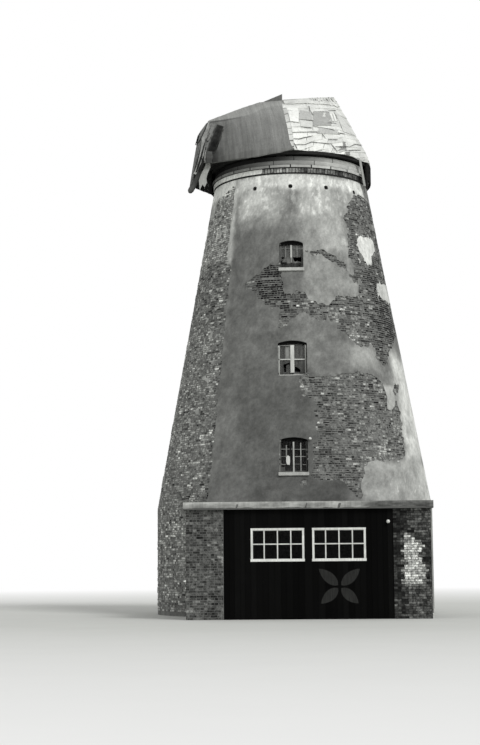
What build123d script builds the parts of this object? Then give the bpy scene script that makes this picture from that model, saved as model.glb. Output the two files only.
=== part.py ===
from build123d import *
import math
import os

# Disused brick tower windmill: a battered round tower with a turning boat-shaped cap,
# and a flat-roofed boarded annex in front. Millimetres, +Z up, origin at the middle of
# the tower at ground level, annex towards -Y. Azimuths are in degrees from -Y towards +X.

# Clearances
seat = 0.3
slideGap = 0.3

# Tower masonry; the radii are those of the render's face
drumRadius = 5060
drumHeight = 3800
towerTop = 15750
towerTopRadius = 2886
wallAtBase = 750
wallAtTop = 450
wallNames = ("front", "front_right", "right", "rear_right", "rear", "rear_left", "left", "front_left")

# Cement render: a thin coat, broken away in patches and missing from one side
coatThickness = 22
coatFoot = 150
coatFrontEdge = -41
coatRearEdge = 232
coatEdgeTop = -40.5
coatEdgeBottom = -35.5
brokenRender = {
    "under_top_window": (-4, (
        (-7.8, 12380), (-15, 12080), (-19, 11900), (-26.7, 11750), (-26, 11500), (-21.7, 11350),
        (-19.4, 11080), (-15.6, 10850), (-6.1, 10650), (-7, 10080), (-2.2, 10020), (1.7, 10350),
        (7.8, 10500), (10, 10320), (16.7, 10300), (20, 10600), (20, 10860), (9.4, 11020),
        (2.8, 11280), (-2.8, 11450), (-6.4, 11950))),
    "right_of_top_window": (28, (
        (12.8, 12820), (20.5, 12880), (23.9, 12700), (30, 12500), (36.6, 12300), (40.5, 11780),
        (34.4, 12080), (28.9, 12350), (23.3, 12500), (20, 12700), (13.9, 12680))),
    "upper_right": (56, (
        (41.7, 14880), (37.8, 14200), (36.2, 12850), (40.4, 11900), (39.4, 11200), (27.2, 11200),
        (21.7, 10950), (21.7, 10400), (28.3, 9700), (40, 9320), (43.9, 9450), (50.6, 8850),
        (60, 9300), (75, 10200), (88, 12000), (84, 14100), (70, 14750), (52, 14950))),
    "lower_right": (31, (
        (4.4, 8250), (3.3, 7500), (9.4, 7400), (11, 6000), (7.2, 5900), (6.8, 4900), (2.8, 4500),
        (20, 4450), (25, 4050), (27.2, 4080), (26.5, 4550), (30, 5050), (36, 5300), (50.6, 5380),
        (57.2, 5600), (58.9, 7000), (55.5, 7200), (48.9, 7250), (47.2, 8250), (30, 8400))),
}
rearPatches = ("under_top_window", "lower_right")

# Putlog holes just under the tower's top
putlogCount = 14
putlogSize = 150
putlogDepth = 230
putlogDrop = 480

# Brick and timber courses that carry the cap
rowlockHeight = 220
rowlockProud = 15
ledgeHeight = 110
ledgeProud = 55
courseWidth = 400
courseCount = 8
courseJoint = 1
curbHeight = 320
curbWidth = 330
curbInset = 36
curbRadius = towerTopRadius - curbInset
curbFelloes = 12
felloeJoint = 4

# Floors
groundSlab = 150
floorThickness = 160
lowerFloor = 4150
middleFloor = 7500
topFloor = 11400

# Tower windows: width, sill height and height to the crown of the arched head
towerWindows = {
    "lower": (980, 4870, 1210),
    "middle": (1010, 8260, 1250),
    "top": (850, 12180, 1020),
}
headRise = 90
innerHeadShare = 0.8
windowInset = 90
frameDepth = 70
frameFace = 65
glassThickness = 8
sillThickness = 110
sillProud = 45
sillSpill = 30
silledWindows = ("lower", "top")

# Rear doorway
doorWidth = 1150
doorHeight = 2200
doorThickness = 60
doorFrameFace = 90
doorFrameDepth = 120
doorRecess = 250

# Annex
annexCentre = 440
annexWidth = 7960
annexFront = -6800
annexWallTop = 3556
annexWall = 300
pierWidth = 1220
pierDepth = 420
boardThickness = 60
boardRecess = 40
annexSlab = 100
roofThickness = 180
roofOverhang = 90
fasciaHeight = 245
fasciaThickness = 35
annexWindowWidth = 1740
annexWindowHeight = 1050
annexWindowSill = 1880
annexWindowSpacing = 2000
annexFrameFace = 70

# Cap plan, in the cap's own axes: u along the ridge, v across it, rises above the eave
capYaw = 8
eaveOverhang = 250
eaveRadius = curbRadius + eaveOverhang
capGap = 65
capRingHeight = 115
capRingWidth = 560
capRingInset = 115
slideBlocks = 12
blockLength = 320
blockWidth = 220
curbTop = towerTop + rowlockHeight + ledgeHeight + curbHeight
eaveHeight = curbTop + capGap + capRingHeight

# Ribs of the roof from the tail's verge to the front
vergeU = -eaveRadius
vergeHalfWidth = 1450
vergeRise = 1890
vergeDrop = 115
tailU = -1900
tailFlare = 70
tailRise = 2380
tailDrop = 190
bellyU = -1150
bellyRise = 2650
bellyDrop = 90
seamU = -280
seamRise = 2750
creaseU = 670
creaseAngle = 23.4
shoulderU = 1250
shoulderAngle = 48
frontU = 1715
frontRise = 2930
feltThickness = 80
slateThickness = 95
# Share of the half width and of the rise at each bend of the roof's section
sectionShape = ((0, 1), (0.432, 0.708), (0.765, 0.387), (0.897, 0.215), (1, 0.02))
creaseFlatness = 0.1
shoulderFlatness = 0.3
frontFlatness = 0.5

# Torn opening in the felt beside the verge: places along the ridge and rises
tornOpening = ((-2840, 1560), (-2600, 1450), (-2900, 330), (-3060, 300))

# Cap timbers
sheerSpacing = 1800
sheerWidth = 220
sheerHeight = 250
sheerFront = 2450
tailBeamWidth = 200
tailBeamHeight = 200
tailBeamInset = 170
rafterThickness = 100
rafterDepth = 150
rafterGap = 45
ridgeBeamWidth = 60
ridgeBeamDepth = 200

# Tail gable in two lapped tiers of boards that lean out at the foot
upperLean = 0.578
lowerLean = 0.15
gableBreak = 1120
gableLap = 80
gableBoards = 11
gableBoardThickness = 25
gableBoardGap = 18
vergeBoardThickness = 25
gableFootDrop = 440
gableRagged = (140, 440, 60, -180, 40, 110, -120, 0, 160, -60, 90)
railThickness = 70
railHeight = 120
railEndGap = 15
lowerRail = 160
middleRail = 860
upperRail = 1260
bracketFoot = 40
bracketThickness = 60
bracketSpacing = 1000

# What hangs from the tail: a round brace, a loose plank; and lifted felt on the ridge
braceRadius = 130
braceSlope = 0.6
braceV = -1051
braceRise = 420
braceDrop = 1020
plankWidth = 200
plankLength = 1150
plankDrop = 60
plankThickness = 28
plankLean = 0.3
flapLength = 780
flapRise = 260
flapThickness = 25

# Skirt boards that hang round the curb at the front and tail of the cap
skirtThickness = 45
skirtTopDrop = 20
frontSkirtStart = -30
frontSkirtSweep = 95
frontSkirtDrop = 630
tailSkirtStart = 145
tailSkirtSweep = 50
tailSkirtDrop = 980
edgeBoardWidth = 130
edgeBoardThickness = 24
edgeBoardDrop = 1020


def outerRadius(z):
    """Radius of the render's face at a height."""
    if z <= drumHeight:
        return drumRadius
    batter = (drumRadius - towerTopRadius) / (towerTop - drumHeight)
    return drumRadius - batter * (z - drumHeight)


def innerRadius(z):
    """Inside radius of the tower at a height."""
    innerBase = drumRadius - wallAtBase
    innerTop = towerTopRadius - wallAtTop
    if z <= drumHeight:
        return innerBase
    return innerBase - (innerBase - innerTop) * (z - drumHeight) / (towerTop - drumHeight)


def turned(profile, startAngle=0, sweep=360):
    """A profile of (radius, height) points turned about the tower's axis."""
    outline = Polyline(*[(r, 0, z) for r, z in profile], close=True)
    solid = revolve(make_face(outline), Axis.Z, sweep)
    return Rot(0, 0, startAngle) * solid


def ring(inner, outer, bottom, top, startAngle=0, sweep=360):
    """A plain ring, or part of one, about the tower's axis."""
    profile = [(inner, bottom), (outer, bottom), (outer, top), (inner, top)]
    return turned(profile, startAngle, sweep)


def segmentedRing(inner, outer, bottom, top, count, joint, firstAngle=0):
    """A ring laid in equal lengths with an open joint between them."""
    step = 360 / count
    gap = math.degrees(joint / outer)
    lengths = [ring(inner, outer, bottom, top, firstAngle + i * step, step - gap) for i in range(count)]
    return Compound(lengths)


def block(x0, x1, y0, y1, z0, z1):
    """A squared block between two corners."""
    size = (x1 - x0, y1 - y0, z1 - z0)
    return Pos((x0 + x1) / 2, (y0 + y1) / 2, (z0 + z1) / 2) * Box(*size)


def archedBlock(width, sill, crown, rise, y0, y1):
    """A block with a segmental arched head, upright and facing -Y."""
    half = width / 2
    spring = crown - rise
    sides = Polyline((-half, 0, spring), (-half, 0, sill), (half, 0, sill), (half, 0, spring))
    head = ThreePointArc((half, 0, spring), (0, 0, crown), (-half, 0, spring))
    face = make_face(sides + head)
    return Pos(0, y0, 0) * extrude(face, amount=y1 - y0, dir=(0, 1, 0))


def toRear(piece):
    """The same piece on the tower's rear side."""
    return Rot(0, 0, 180) * piece


def windowPlane(key):
    """Outer face of a tower window's frame, set back from the wall at its head."""
    width, sill, height = towerWindows[key]
    return -(outerRadius(sill + height) - windowInset)


def windowCutter(key):
    width, sill, height = towerWindows[key]
    reach = outerRadius(sill) + wallAtBase
    return archedBlock(width, sill, sill + height, headRise, -reach, -innerRadius(sill) / 2)


def sillShape(key, clearance):
    """The stone sill under a tower window, as a block to cut or to lay."""
    width, sill, height = towerWindows[key]
    half = width / 2 + sillSpill - clearance
    front = -outerRadius(sill - sillThickness) - sillProud
    top = sill - clearance
    return block(-half, half, front, windowPlane(key), sill - sillThickness + clearance, top)


def doorCutter():
    reach = drumRadius + wallAtBase
    return archedBlock(doorWidth, groundSlab, groundSlab + doorHeight, headRise, -reach, -reach / 2)


def putlogCutters():
    """Square putlog holes, a level ring of them, each with its azimuth."""
    height = towerTop - putlogDrop
    radius = outerRadius(height)
    hole = block(-putlogSize / 2, putlogSize / 2, -radius - putlogSize, -radius + putlogDepth,
                 height - putlogSize / 2, height + putlogSize / 2)
    step = 360 / putlogCount
    return [(i * step, Rot(0, 0, i * step) * hole) for i in range(putlogCount)]


def openingCutters(rear):
    """Everything cut through the front or the rear of the wall."""
    cutters = [windowCutter(key) for key in towerWindows]
    cutters += [sillShape(key, 0) for key in silledWindows]
    if rear:
        cutters = [toRear(cutter) for cutter in cutters + [doorCutter()]]
    return cutters


def wallNodes():
    """The tower's brick shell in upright segments, with openings through front and rear."""
    sweep = 360 / len(wallNames)
    profile = [
        (innerRadius(0), 0), (drumRadius - coatThickness, 0),
        (drumRadius - coatThickness, drumHeight), (towerTopRadius - coatThickness, towerTop),
        (innerRadius(towerTop), towerTop), (innerRadius(0), drumHeight),
    ]
    nodes = {}
    for i, name in enumerate(wallNames):
        middle = i * sweep
        wall = turned(profile, middle - 90 - sweep / 2, sweep)
        for azimuth, hole in putlogCutters():
            if abs((azimuth - middle + 180) % 360 - 180) < sweep / 2:
                wall -= hole
        if name in ("front", "rear"):
            for cutter in openingCutters(name == "rear"):
                wall -= cutter
        nodes["wall_" + name] = wall
    return nodes


def patchCutter(facing, outline):
    """A broken patch of render, as a prism through the coat on the side that it faces."""
    points = []
    for azimuth, z in outline:
        across = outerRadius(z) * math.sin(math.radians(azimuth - facing))
        points.append((across, 0, z))
    face = make_face(Polyline(*points, close=True))
    return Rot(0, 0, facing) * extrude(face, amount=2 * drumRadius, dir=(0, -1, 0))


def edgeCutter():
    """Trims the coat's front edge to its plumb line, which leans with the batter."""
    top = outerRadius(towerTop) * math.sin(math.radians(coatEdgeTop))
    bottom = outerRadius(drumHeight) * math.sin(math.radians(coatEdgeBottom))
    outline = [(top, 0, towerTop), (bottom, 0, drumHeight), (bottom, 0, 0),
               (-2 * drumRadius, 0, 0), (-2 * drumRadius, 0, towerTop)]
    return extrude(make_face(Polyline(*outline, close=True)), amount=2 * drumRadius, dir=(0, -1, 0))


def coatNode():
    """The cement render left on the tower."""
    inside = coatThickness - seat
    profile = [
        (drumRadius - inside, coatFoot), (drumRadius, coatFoot), (drumRadius, drumHeight),
        (towerTopRadius, towerTop), (towerTopRadius - inside, towerTop), (drumRadius - inside, drumHeight),
    ]
    coat = turned(profile, coatFrontEdge - 90, coatRearEdge - coatFrontEdge)
    cutters = [edgeCutter()] + openingCutters(False) + openingCutters(True)
    cutters += [hole for azimuth, hole in putlogCutters()]
    cutters += [patchCutter(facing, outline) for facing, outline in brokenRender.values()]
    cutters += [toRear(patchCutter(*brokenRender[key])) for key in rearPatches]
    for cutter in cutters:
        coat -= cutter
    return coat


def windowFrame(key):
    """Timber frame with an arched head, filling the opening."""
    width, sill, height = towerWindows[key]
    y0 = windowPlane(key)
    crown = sill + height
    outer = archedBlock(width - 2 * seat, sill + seat, crown - seat, headRise, y0, y0 + frameDepth)
    inner = archedBlock(width - 2 * frameFace, sill + frameFace, crown - frameFace, headRise * innerHeadShare,
                        y0 - frameDepth, y0 + 2 * frameDepth)
    return outer - inner


def windowGlass(key):
    width, sill, height = towerWindows[key]
    middle = windowPlane(key) + frameDepth / 2
    gap = frameFace + seat
    return archedBlock(width - 2 * gap, sill + gap, sill + height - gap, headRise * innerHeadShare,
                       middle - glassThickness / 2, middle + glassThickness / 2)


def floorDisc(top):
    """A storey's floor, fitted to the battered inside of the wall."""
    return ring(0, innerRadius(top) - seat, top - floorThickness, top)


def doorNodes():
    """Plank door in an arched frame in the rear wall."""
    y0 = -(drumRadius - doorRecess)
    top = groundSlab + doorHeight
    outer = archedBlock(doorWidth - 2 * seat, groundSlab + seat, top - seat, headRise,
                        y0, y0 + doorFrameDepth)
    opening = doorWidth - 2 * doorFrameFace
    inner = archedBlock(opening, 0, top - doorFrameFace, headRise * innerHeadShare,
                        y0 - doorFrameDepth, y0 + 2 * doorFrameDepth)
    leaf = archedBlock(opening - 2 * seat, groundSlab + seat, top - doorFrameFace - seat,
                       headRise * innerHeadShare, y0 + seat, y0 + doorThickness)
    return {"rear_door_frame": toRear(outer - inner), "rear_door": toRear(leaf)}


def courseNodes():
    """Brick rowlock, stone ledge and the timber curb in felloes on top of the wall."""
    rowlockTop = towerTop + rowlockHeight
    ledgeTop = rowlockTop + ledgeHeight
    outer = towerTopRadius + rowlockProud
    ledgeOuter = towerTopRadius + ledgeProud
    half = 180 / courseCount
    return {
        "rowlock_course": segmentedRing(outer - courseWidth, outer, towerTop, rowlockTop,
                                        courseCount, courseJoint),
        "curb_ledge": segmentedRing(ledgeOuter - courseWidth, ledgeOuter, rowlockTop, ledgeTop,
                                    courseCount, courseJoint, half),
        "curb_ring": segmentedRing(curbRadius - curbWidth, curbRadius, ledgeTop, curbTop,
                                   curbFelloes, felloeJoint),
    }


def towerNodes():
    nodes = wallNodes()
    nodes["render_coat"] = coatNode()
    nodes["ground_floor"] = ring(0, innerRadius(0) - seat, 0, groundSlab)
    nodes["lower_floor"] = floorDisc(lowerFloor)
    nodes["middle_floor"] = floorDisc(middleFloor)
    nodes["top_floor"] = floorDisc(topFloor)
    for key in towerWindows:
        nodes["window_" + key] = windowFrame(key)
        nodes["rear_window_" + key] = toRear(windowFrame(key))
    nodes["tower_glass"] = Compound([windowGlass(key) for key in towerWindows])
    nodes["rear_tower_glass"] = Compound([toRear(windowGlass(key)) for key in towerWindows])
    nodes["window_sills"] = Compound([sillShape(key, seat) for key in silledWindows])
    nodes["rear_window_sills"] = Compound([toRear(sillShape(key, seat)) for key in silledWindows])
    nodes.update(doorNodes())
    nodes.update(courseNodes())
    return nodes


def annexWalls(left, right):
    """Brick piers, side walls back to the tower, and the boarded front with its two windows."""
    drum = Cylinder(drumRadius + seat, 3 * drumHeight)
    pierBack = annexFront + pierDepth
    boardFront = annexFront + boardRecess
    boardBack = boardFront + boardThickness
    nodes = {
        "annex_pier_left": block(left, left + pierWidth, annexFront, pierBack, 0, annexWallTop),
        "annex_pier_right": block(right - pierWidth, right, annexFront, pierBack, 0, annexWallTop),
        "annex_wall_left": block(left, left + annexWall, pierBack, 0, 0, annexWallTop) - drum,
        "annex_wall_right": block(right - annexWall, right, pierBack, 0, 0, annexWallTop) - drum,
    }
    front = block(left + pierWidth, right - pierWidth, boardFront, boardBack, 0, annexWallTop)
    top = annexWindowSill + annexWindowHeight
    glassInset = annexFrameFace + seat
    middle = (boardFront + boardBack) / 2
    glass = []
    for side, sign in (("left", -1), ("right", 1)):
        centre = annexCentre + sign * annexWindowSpacing / 2
        x0 = centre - annexWindowWidth / 2
        x1 = centre + annexWindowWidth / 2
        front -= block(x0, x1, annexFront, 0, annexWindowSill, top)
        outer = block(x0 + seat, x1 - seat, boardFront, boardBack, annexWindowSill + seat, top - seat)
        hole = block(x0 + annexFrameFace, x1 - annexFrameFace, annexFront, 0,
                     annexWindowSill + annexFrameFace, top - annexFrameFace)
        nodes["annex_window_" + side] = outer - hole
        glass.append(block(x0 + glassInset, x1 - glassInset,
                           middle - glassThickness / 2, middle + glassThickness / 2,
                           annexWindowSill + glassInset, top - glassInset))
    slab = block(left + annexWall, right - annexWall, boardBack, 0, 0, annexSlab) - drum
    slab -= block(left, left + pierWidth, annexFront, pierBack, 0, annexWallTop)
    slab -= block(right - pierWidth, right, annexFront, pierBack, 0, annexWallTop)
    nodes["annex_front"] = front
    nodes["annex_floor"] = slab
    nodes["annex_glass"] = Compound(glass)
    return nodes


def annexNodes():
    """Flat-roofed room built against the front of the tower."""
    left = annexCentre - annexWidth / 2
    right = annexCentre + annexWidth / 2
    nodes = annexWalls(left, right)
    drum = Cylinder(drumRadius + seat, 3 * drumHeight)
    roofFront = annexFront - roofOverhang
    roof = block(left - roofOverhang, right + roofOverhang, roofFront, -innerRadius(0) / 2,
                 annexWallTop, annexWallTop + roofThickness)
    nodes["annex_roof"] = roof - drum
    nodes["annex_fascia"] = block(left - roofOverhang, right + roofOverhang, roofFront - fasciaThickness,
                                  roofFront, annexWallTop, annexWallTop + fasciaHeight)
    return nodes


def capPoint(ridgeU, angle, distance, height):
    """A point in the cap's axes, some way out from the ridge along a rib's direction."""
    a = math.radians(angle)
    return (ridgeU + distance * math.sin(a), -distance * math.cos(a), height)


def ribLength(ridgeU, angle):
    """Distance from the ridge to the round eave along a rib's direction."""
    along = ridgeU * math.sin(math.radians(angle))
    return -along + math.sqrt(along ** 2 + eaveRadius ** 2 - ridgeU ** 2)


def slateRidge(u):
    """Rise of the ridge over the slated half."""
    return seamRise + (frontRise - seamRise) * (u - seamU) / (frontU - seamU)


def feltRidge(u):
    """Rise of the ridge over the felted half, ahead of the belly rib."""
    return bellyRise + (seamRise - bellyRise) * (u - bellyU) / (seamU - bellyU)


def ribStations():
    """Every rib's ridge place, direction, length, rise, eave drop and flatness."""
    felt = [
        (vergeU, 0, vergeHalfWidth, vergeRise, vergeDrop, 0),
        (tailU, 0, ribLength(tailU, 0) + tailFlare, tailRise, tailDrop, 0),
        (bellyU, 0, ribLength(bellyU, 0), bellyRise, bellyDrop, 0),
        (seamU, 0, ribLength(seamU, 0), seamRise, 0, 0),
    ]
    slate = [
        (seamU, 0, ribLength(seamU, 0), seamRise, 0, 0),
        (creaseU, creaseAngle, ribLength(creaseU, creaseAngle), slateRidge(creaseU), 0, creaseFlatness),
        (shoulderU, shoulderAngle, ribLength(shoulderU, shoulderAngle), slateRidge(shoulderU), 0,
         shoulderFlatness),
        (frontU, 90, eaveRadius - frontU, frontRise, 0, frontFlatness),
    ]
    return felt, slate


def ribLine(station, inset):
    """Points of a rib's section from ridge to eave, inset from the roof's face."""
    ridgeU, angle, length, rise, drop, flatness = station
    reach = length - inset
    height = rise - inset
    lip = sectionShape[-1][1]
    points = []
    for s, t in sectionShape:
        lift = max(t + (1 - s - t) * flatness, lip)
        points.append(capPoint(ridgeU, angle, s * reach, eaveHeight + lift * height))
    points.append(capPoint(ridgeU, angle, reach, eaveHeight - drop))
    return points


def roofShell(stations, thickness):
    """Half of the roof on the near side, ruled from rib to rib."""
    faces = []
    for station in stations:
        outer = ribLine(station, 0)
        inner = ribLine(station, thickness)
        faces.append(make_face(Polyline(*outer, *reversed(inner), close=True)))
    return loft(faces, ruled=True)


def farSide(piece):
    """The same piece mirrored across the ridge."""
    return piece.mirror(Plane.XZ)


def tornFelt():
    """The opening torn in the near felt, as a prism across the roof's side."""
    points = [(u, 0, eaveHeight + rise) for u, rise in tornOpening]
    return extrude(make_face(Polyline(*points, close=True)), amount=vergeHalfWidth * 2, dir=(0, -1, 0))


def rafter(station, thickness):
    """A half rafter standing on the cap's ring and butting on the ridge beam."""
    level = station[:4] + (0, station[5])
    outer = ribLine(level, thickness + rafterGap)
    inner = ribLine(level, thickness + rafterGap + rafterDepth)
    face = make_face(Polyline(*outer, *reversed(inner), close=True))
    bar = extrude(face, amount=rafterThickness / 2, both=True)
    half = ridgeBeamWidth / 2
    return bar - block(-2 * eaveRadius, 2 * eaveRadius, -half, half, 0, 2 * towerTop)


def roofTimbers():
    """Half rafters and the ridge beam between them."""
    felt, slate = ribStations()
    stations = [(felt[1], feltThickness), (felt[3], slateThickness), (slate[1], slateThickness)]
    near = [rafter(station, thickness) for station, thickness in stations]
    drop = slateThickness + rafterGap
    tail = vergeU + tailBeamWidth
    nose = creaseU + ridgeBeamDepth
    tailSlope = (tailRise - vergeRise) / (tailU - vergeU)
    rises = [(tail, vergeRise + tailSlope * (tail - vergeU)), (tailU, tailRise), (seamU, seamRise),
             (nose, slateRidge(nose))]
    top = [(u, 0, eaveHeight + rise - drop) for u, rise in rises]
    bottom = [(x, y, z - ridgeBeamDepth) for x, y, z in reversed(top)]
    beam = extrude(make_face(Polyline(*top, *bottom, close=True)), amount=ridgeBeamWidth / 2, both=True)
    return {"rafters": Compound(near + [farSide(bar) for bar in near]), "ridge_beam": beam}


def capFrame():
    """Ring, slide blocks, sheers and tail beam that carry the roof and turn on the curb."""
    ringBottom = eaveHeight - capRingHeight
    outer = eaveRadius - capRingInset
    step = 360 / slideBlocks
    middle = curbRadius - curbWidth / 2
    slide = block(middle - blockWidth / 2, middle + blockWidth / 2, -blockLength / 2, blockLength / 2,
                  curbTop + slideGap, ringBottom)
    sheerTail = vergeU + tailBeamWidth
    sheers = []
    for side in (-1, 1):
        centre = side * sheerSpacing / 2
        sheers.append(block(sheerTail, sheerFront, centre - sheerWidth / 2, centre + sheerWidth / 2,
                            eaveHeight, eaveHeight + sheerHeight))
    tailHalf = vergeHalfWidth - tailBeamInset
    return {
        "cap_ring": segmentedRing(outer - capRingWidth, outer, ringBottom, eaveHeight,
                                  slideBlocks, felloeJoint),
        "slide_blocks": Compound([Rot(0, 0, (i + 0.5) * step) * slide for i in range(slideBlocks)]),
        "sheers": Compound(sheers),
        "tail_beam": block(vergeU, sheerTail, -tailHalf, tailHalf, eaveHeight, eaveHeight + tailBeamHeight),
    }


def verge(v):
    """Rise of the roof's edge at the verge, at a distance from the ridge."""
    share = min(abs(v) / vergeHalfWidth, 1)
    for (s0, t0), (s1, t1) in zip(sectionShape, sectionShape[1:]):
        if share <= s1:
            return vergeRise * (t0 + (t1 - t0) * (share - s0) / (s1 - s0))


def vergeReach(rise):
    """Distance from the ridge to the roof's edge at the verge, at a rise."""
    share = rise / vergeRise
    for (s0, t0), (s1, t1) in zip(sectionShape, sectionShape[1:]):
        if share >= t1:
            return vergeHalfWidth * (s0 + (s1 - s0) * (t0 - share) / (t0 - t1))
    return vergeHalfWidth


def upperInner(rise):
    """Place along the ridge of the upper tier's inner face, at a rise above the eave."""
    return vergeU - seat - (vergeRise - rise) * upperLean


def lowerInner(rise):
    """The same for the lower tier, which laps behind the foot of the upper one."""
    lapTop = upperInner(gableBreak) + gableLap * upperLean + gableBoardThickness + seat
    return lapTop - (gableBreak + gableLap - rise) * lowerLean


def gableBoard(inner, v0, v1, top0, top1, foot):
    """One board against a tier's inner face, with a sloping head."""
    corners = [(v0, top0), (v1, top1), (v1, foot), (v0, foot)]
    face = make_face(Polyline(*[(inner(rise), v, eaveHeight + rise) for v, rise in corners], close=True))
    return extrude(face, amount=gableBoardThickness, dir=(-1, 0, 0))


def gableBoardSet():
    """Two tiers of gable boards, ragged at the foot."""
    pitch = 2 * (vergeHalfWidth - gableBoardGap) / gableBoards
    lapTop = gableBreak + gableLap
    boards = []
    for i in range(gableBoards):
        v0 = -vergeHalfWidth + gableBoardGap + i * pitch
        v1 = v0 + pitch - gableBoardGap
        foot = -gableFootDrop + gableRagged[i % len(gableRagged)]
        top0 = min(verge(v0), lapTop)
        top1 = min(verge(v1), lapTop)
        boards.append(gableBoard(lowerInner, v0, v1, top0, top1, foot))
        if min(verge(v0), verge(v1)) > upperRail:
            boards.append(gableBoard(upperInner, v0, v1, verge(v0), verge(v1), gableBreak))
    return Compound(boards)


def vergeBoards():
    """Side boards that carry the roof's section on from the verge to the leaning gable."""
    felt, slate = ribStations()
    outer = ribLine(felt[0], 0)
    inner = ribLine(felt[0], vergeBoardThickness)
    face = make_face(Polyline(*outer, *reversed(inner), close=True))
    reach = vergeU - lowerInner(-gableFootDrop)
    shell = extrude(face, amount=reach, dir=(-1, 0, 0))
    lapTop = gableBreak + gableLap
    outline = [(vergeU - seat, -vergeDrop), (vergeU - seat, vergeRise),
               (upperInner(lapTop) + seat, lapTop), (lowerInner(lapTop) + seat, lapTop),
               (lowerInner(-vergeDrop) + seat, -vergeDrop)]
    wedge = make_face(Polyline(*[(u, 0, eaveHeight + h) for u, h in outline], close=True))
    near = shell & extrude(wedge, amount=2 * vergeHalfWidth, dir=(0, -1, 0))
    return near + farSide(near)


def gableRails():
    """Brackets from the tail beam and the rails on them that the gable boards are nailed to."""
    def rail(inner, rise):
        edge = vergeReach(rise + railHeight) - vergeBoardThickness - railEndGap
        reach = min(edge, vergeHalfWidth - tailBeamInset)
        head = rise + railHeight
        outline = [(inner(rise) + seat, rise), (inner(head) + seat, head),
                   (inner(head) + railThickness, head), (inner(rise) + railThickness, rise)]
        face = make_face(Polyline(*[(u, -reach, eaveHeight + h) for u, h in outline], close=True))
        return extrude(face, amount=2 * reach, dir=(0, 1, 0))

    frame = rail(lowerInner, lowerRail) + rail(lowerInner, middleRail) + rail(upperInner, upperRail)
    outline = [(vergeU - seat, bracketFoot), (vergeU - seat, upperRail + railHeight),
               (upperInner(upperRail + railHeight) + railThickness / 2, upperRail + railHeight),
               (upperInner(upperRail) + railThickness / 2, upperRail),
               (lowerInner(middleRail + railHeight) + railThickness / 2, middleRail + railHeight),
               (lowerInner(lowerRail) + railThickness / 2, lowerRail)]
    side = make_face(Polyline(*[(u, 0, eaveHeight + h) for u, h in outline], close=True))
    plate = extrude(side, amount=bracketThickness / 2, both=True)
    for sign in (-1, 1):
        frame += Pos(0, sign * bracketSpacing / 2, 0) * plate
    return frame - tailBrace(seat)


def tailBrace(clearance=0):
    """Round brace that leans past the end of the tail beam and out under the gable."""
    lean = math.hypot(1, braceSlope)

    def onBrace(rise):
        u = vergeU - (braceRadius + seat) * lean - braceSlope * (tailBeamHeight - rise)
        return Vector(u, braceV, eaveHeight + rise)

    run = onBrace(-braceDrop) - onBrace(braceRise)
    section = Plane(onBrace(braceRise), z_dir=run) * Circle(braceRadius + clearance)
    return extrude(section, amount=run.length)


def hangingNodes():
    """Tail brace, hanging plank, lifted felt at the ridge and the skirts round the curb."""
    plankTop = eaveHeight + tailBeamHeight - plankDrop
    plankU = vergeU - seat
    plankFoot = plankU - plankLean * plankLength
    plankEnd = plankTop - plankLength
    plankSide = [(plankU, plankTop), (plankFoot, plankEnd),
                 (plankFoot - plankWidth, plankEnd), (plankU - plankWidth, plankTop)]
    plankV = tailBeamInset - vergeHalfWidth
    plank = make_face(Polyline(*[(u, plankV, z) for u, z in plankSide], close=True))
    hinge = (seamU - flapLength, 0, eaveHeight + feltRidge(seamU - flapLength) + seat)
    foot = (seamU, 0, eaveHeight + seamRise + seat)
    tip = (seamU, 0, eaveHeight + seamRise + flapRise)
    sheet = make_face(Polyline(hinge, foot, tip, close=True))
    flap = extrude(sheet, amount=flapThickness, dir=(0, -1, 0))
    inner = eaveRadius - capRingInset + seat
    outer = inner + skirtThickness
    top = eaveHeight - skirtTopDrop
    frontSkirt = ring(inner, outer, eaveHeight - frontSkirtDrop, top, frontSkirtStart, frontSkirtSweep)
    boardSweep = math.degrees(edgeBoardWidth / outer)
    edgeBoard = ring(outer + seat, outer + edgeBoardThickness, eaveHeight - edgeBoardDrop, top,
                     frontSkirtStart, boardSweep)
    return {
        "tail_brace": tailBrace(),
        "hanging_plank": extrude(plank, amount=plankThickness, dir=(0, 1, 0)),
        "felt_flap": flap,
        "front_skirt": Compound([frontSkirt, edgeBoard]),
        "tail_skirt": ring(inner, outer, eaveHeight - tailSkirtDrop, top, tailSkirtStart, tailSkirtSweep),
    }


def capNodes():
    felt, slate = ribStations()
    nodes = capFrame()
    nodes.update(roofTimbers())
    feltHalf = roofShell(felt, feltThickness)
    slateHalf = roofShell(slate, slateThickness)
    nodes["felt_roof_near"] = feltHalf - tornFelt()
    nodes["felt_roof_far"] = farSide(feltHalf)
    nodes["slate_roof_near"] = slateHalf
    nodes["slate_roof_far"] = farSide(slateHalf)
    nodes["gable_boards"] = gableBoardSet()
    nodes["verge_boards"] = vergeBoards()
    nodes["gable_rails"] = gableRails()
    nodes.update(hangingNodes())
    return {name: Rot(0, 0, capYaw) * piece for name, piece in nodes.items()}


def main():
    os.makedirs("parts", exist_ok=True)
    nodes = towerNodes()
    nodes.update(annexNodes())
    nodes.update(capNodes())
    for name, piece in nodes.items():
        export_step(piece, "parts/" + name + ".step")
    print(len(nodes), "nodes")


main()
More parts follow.
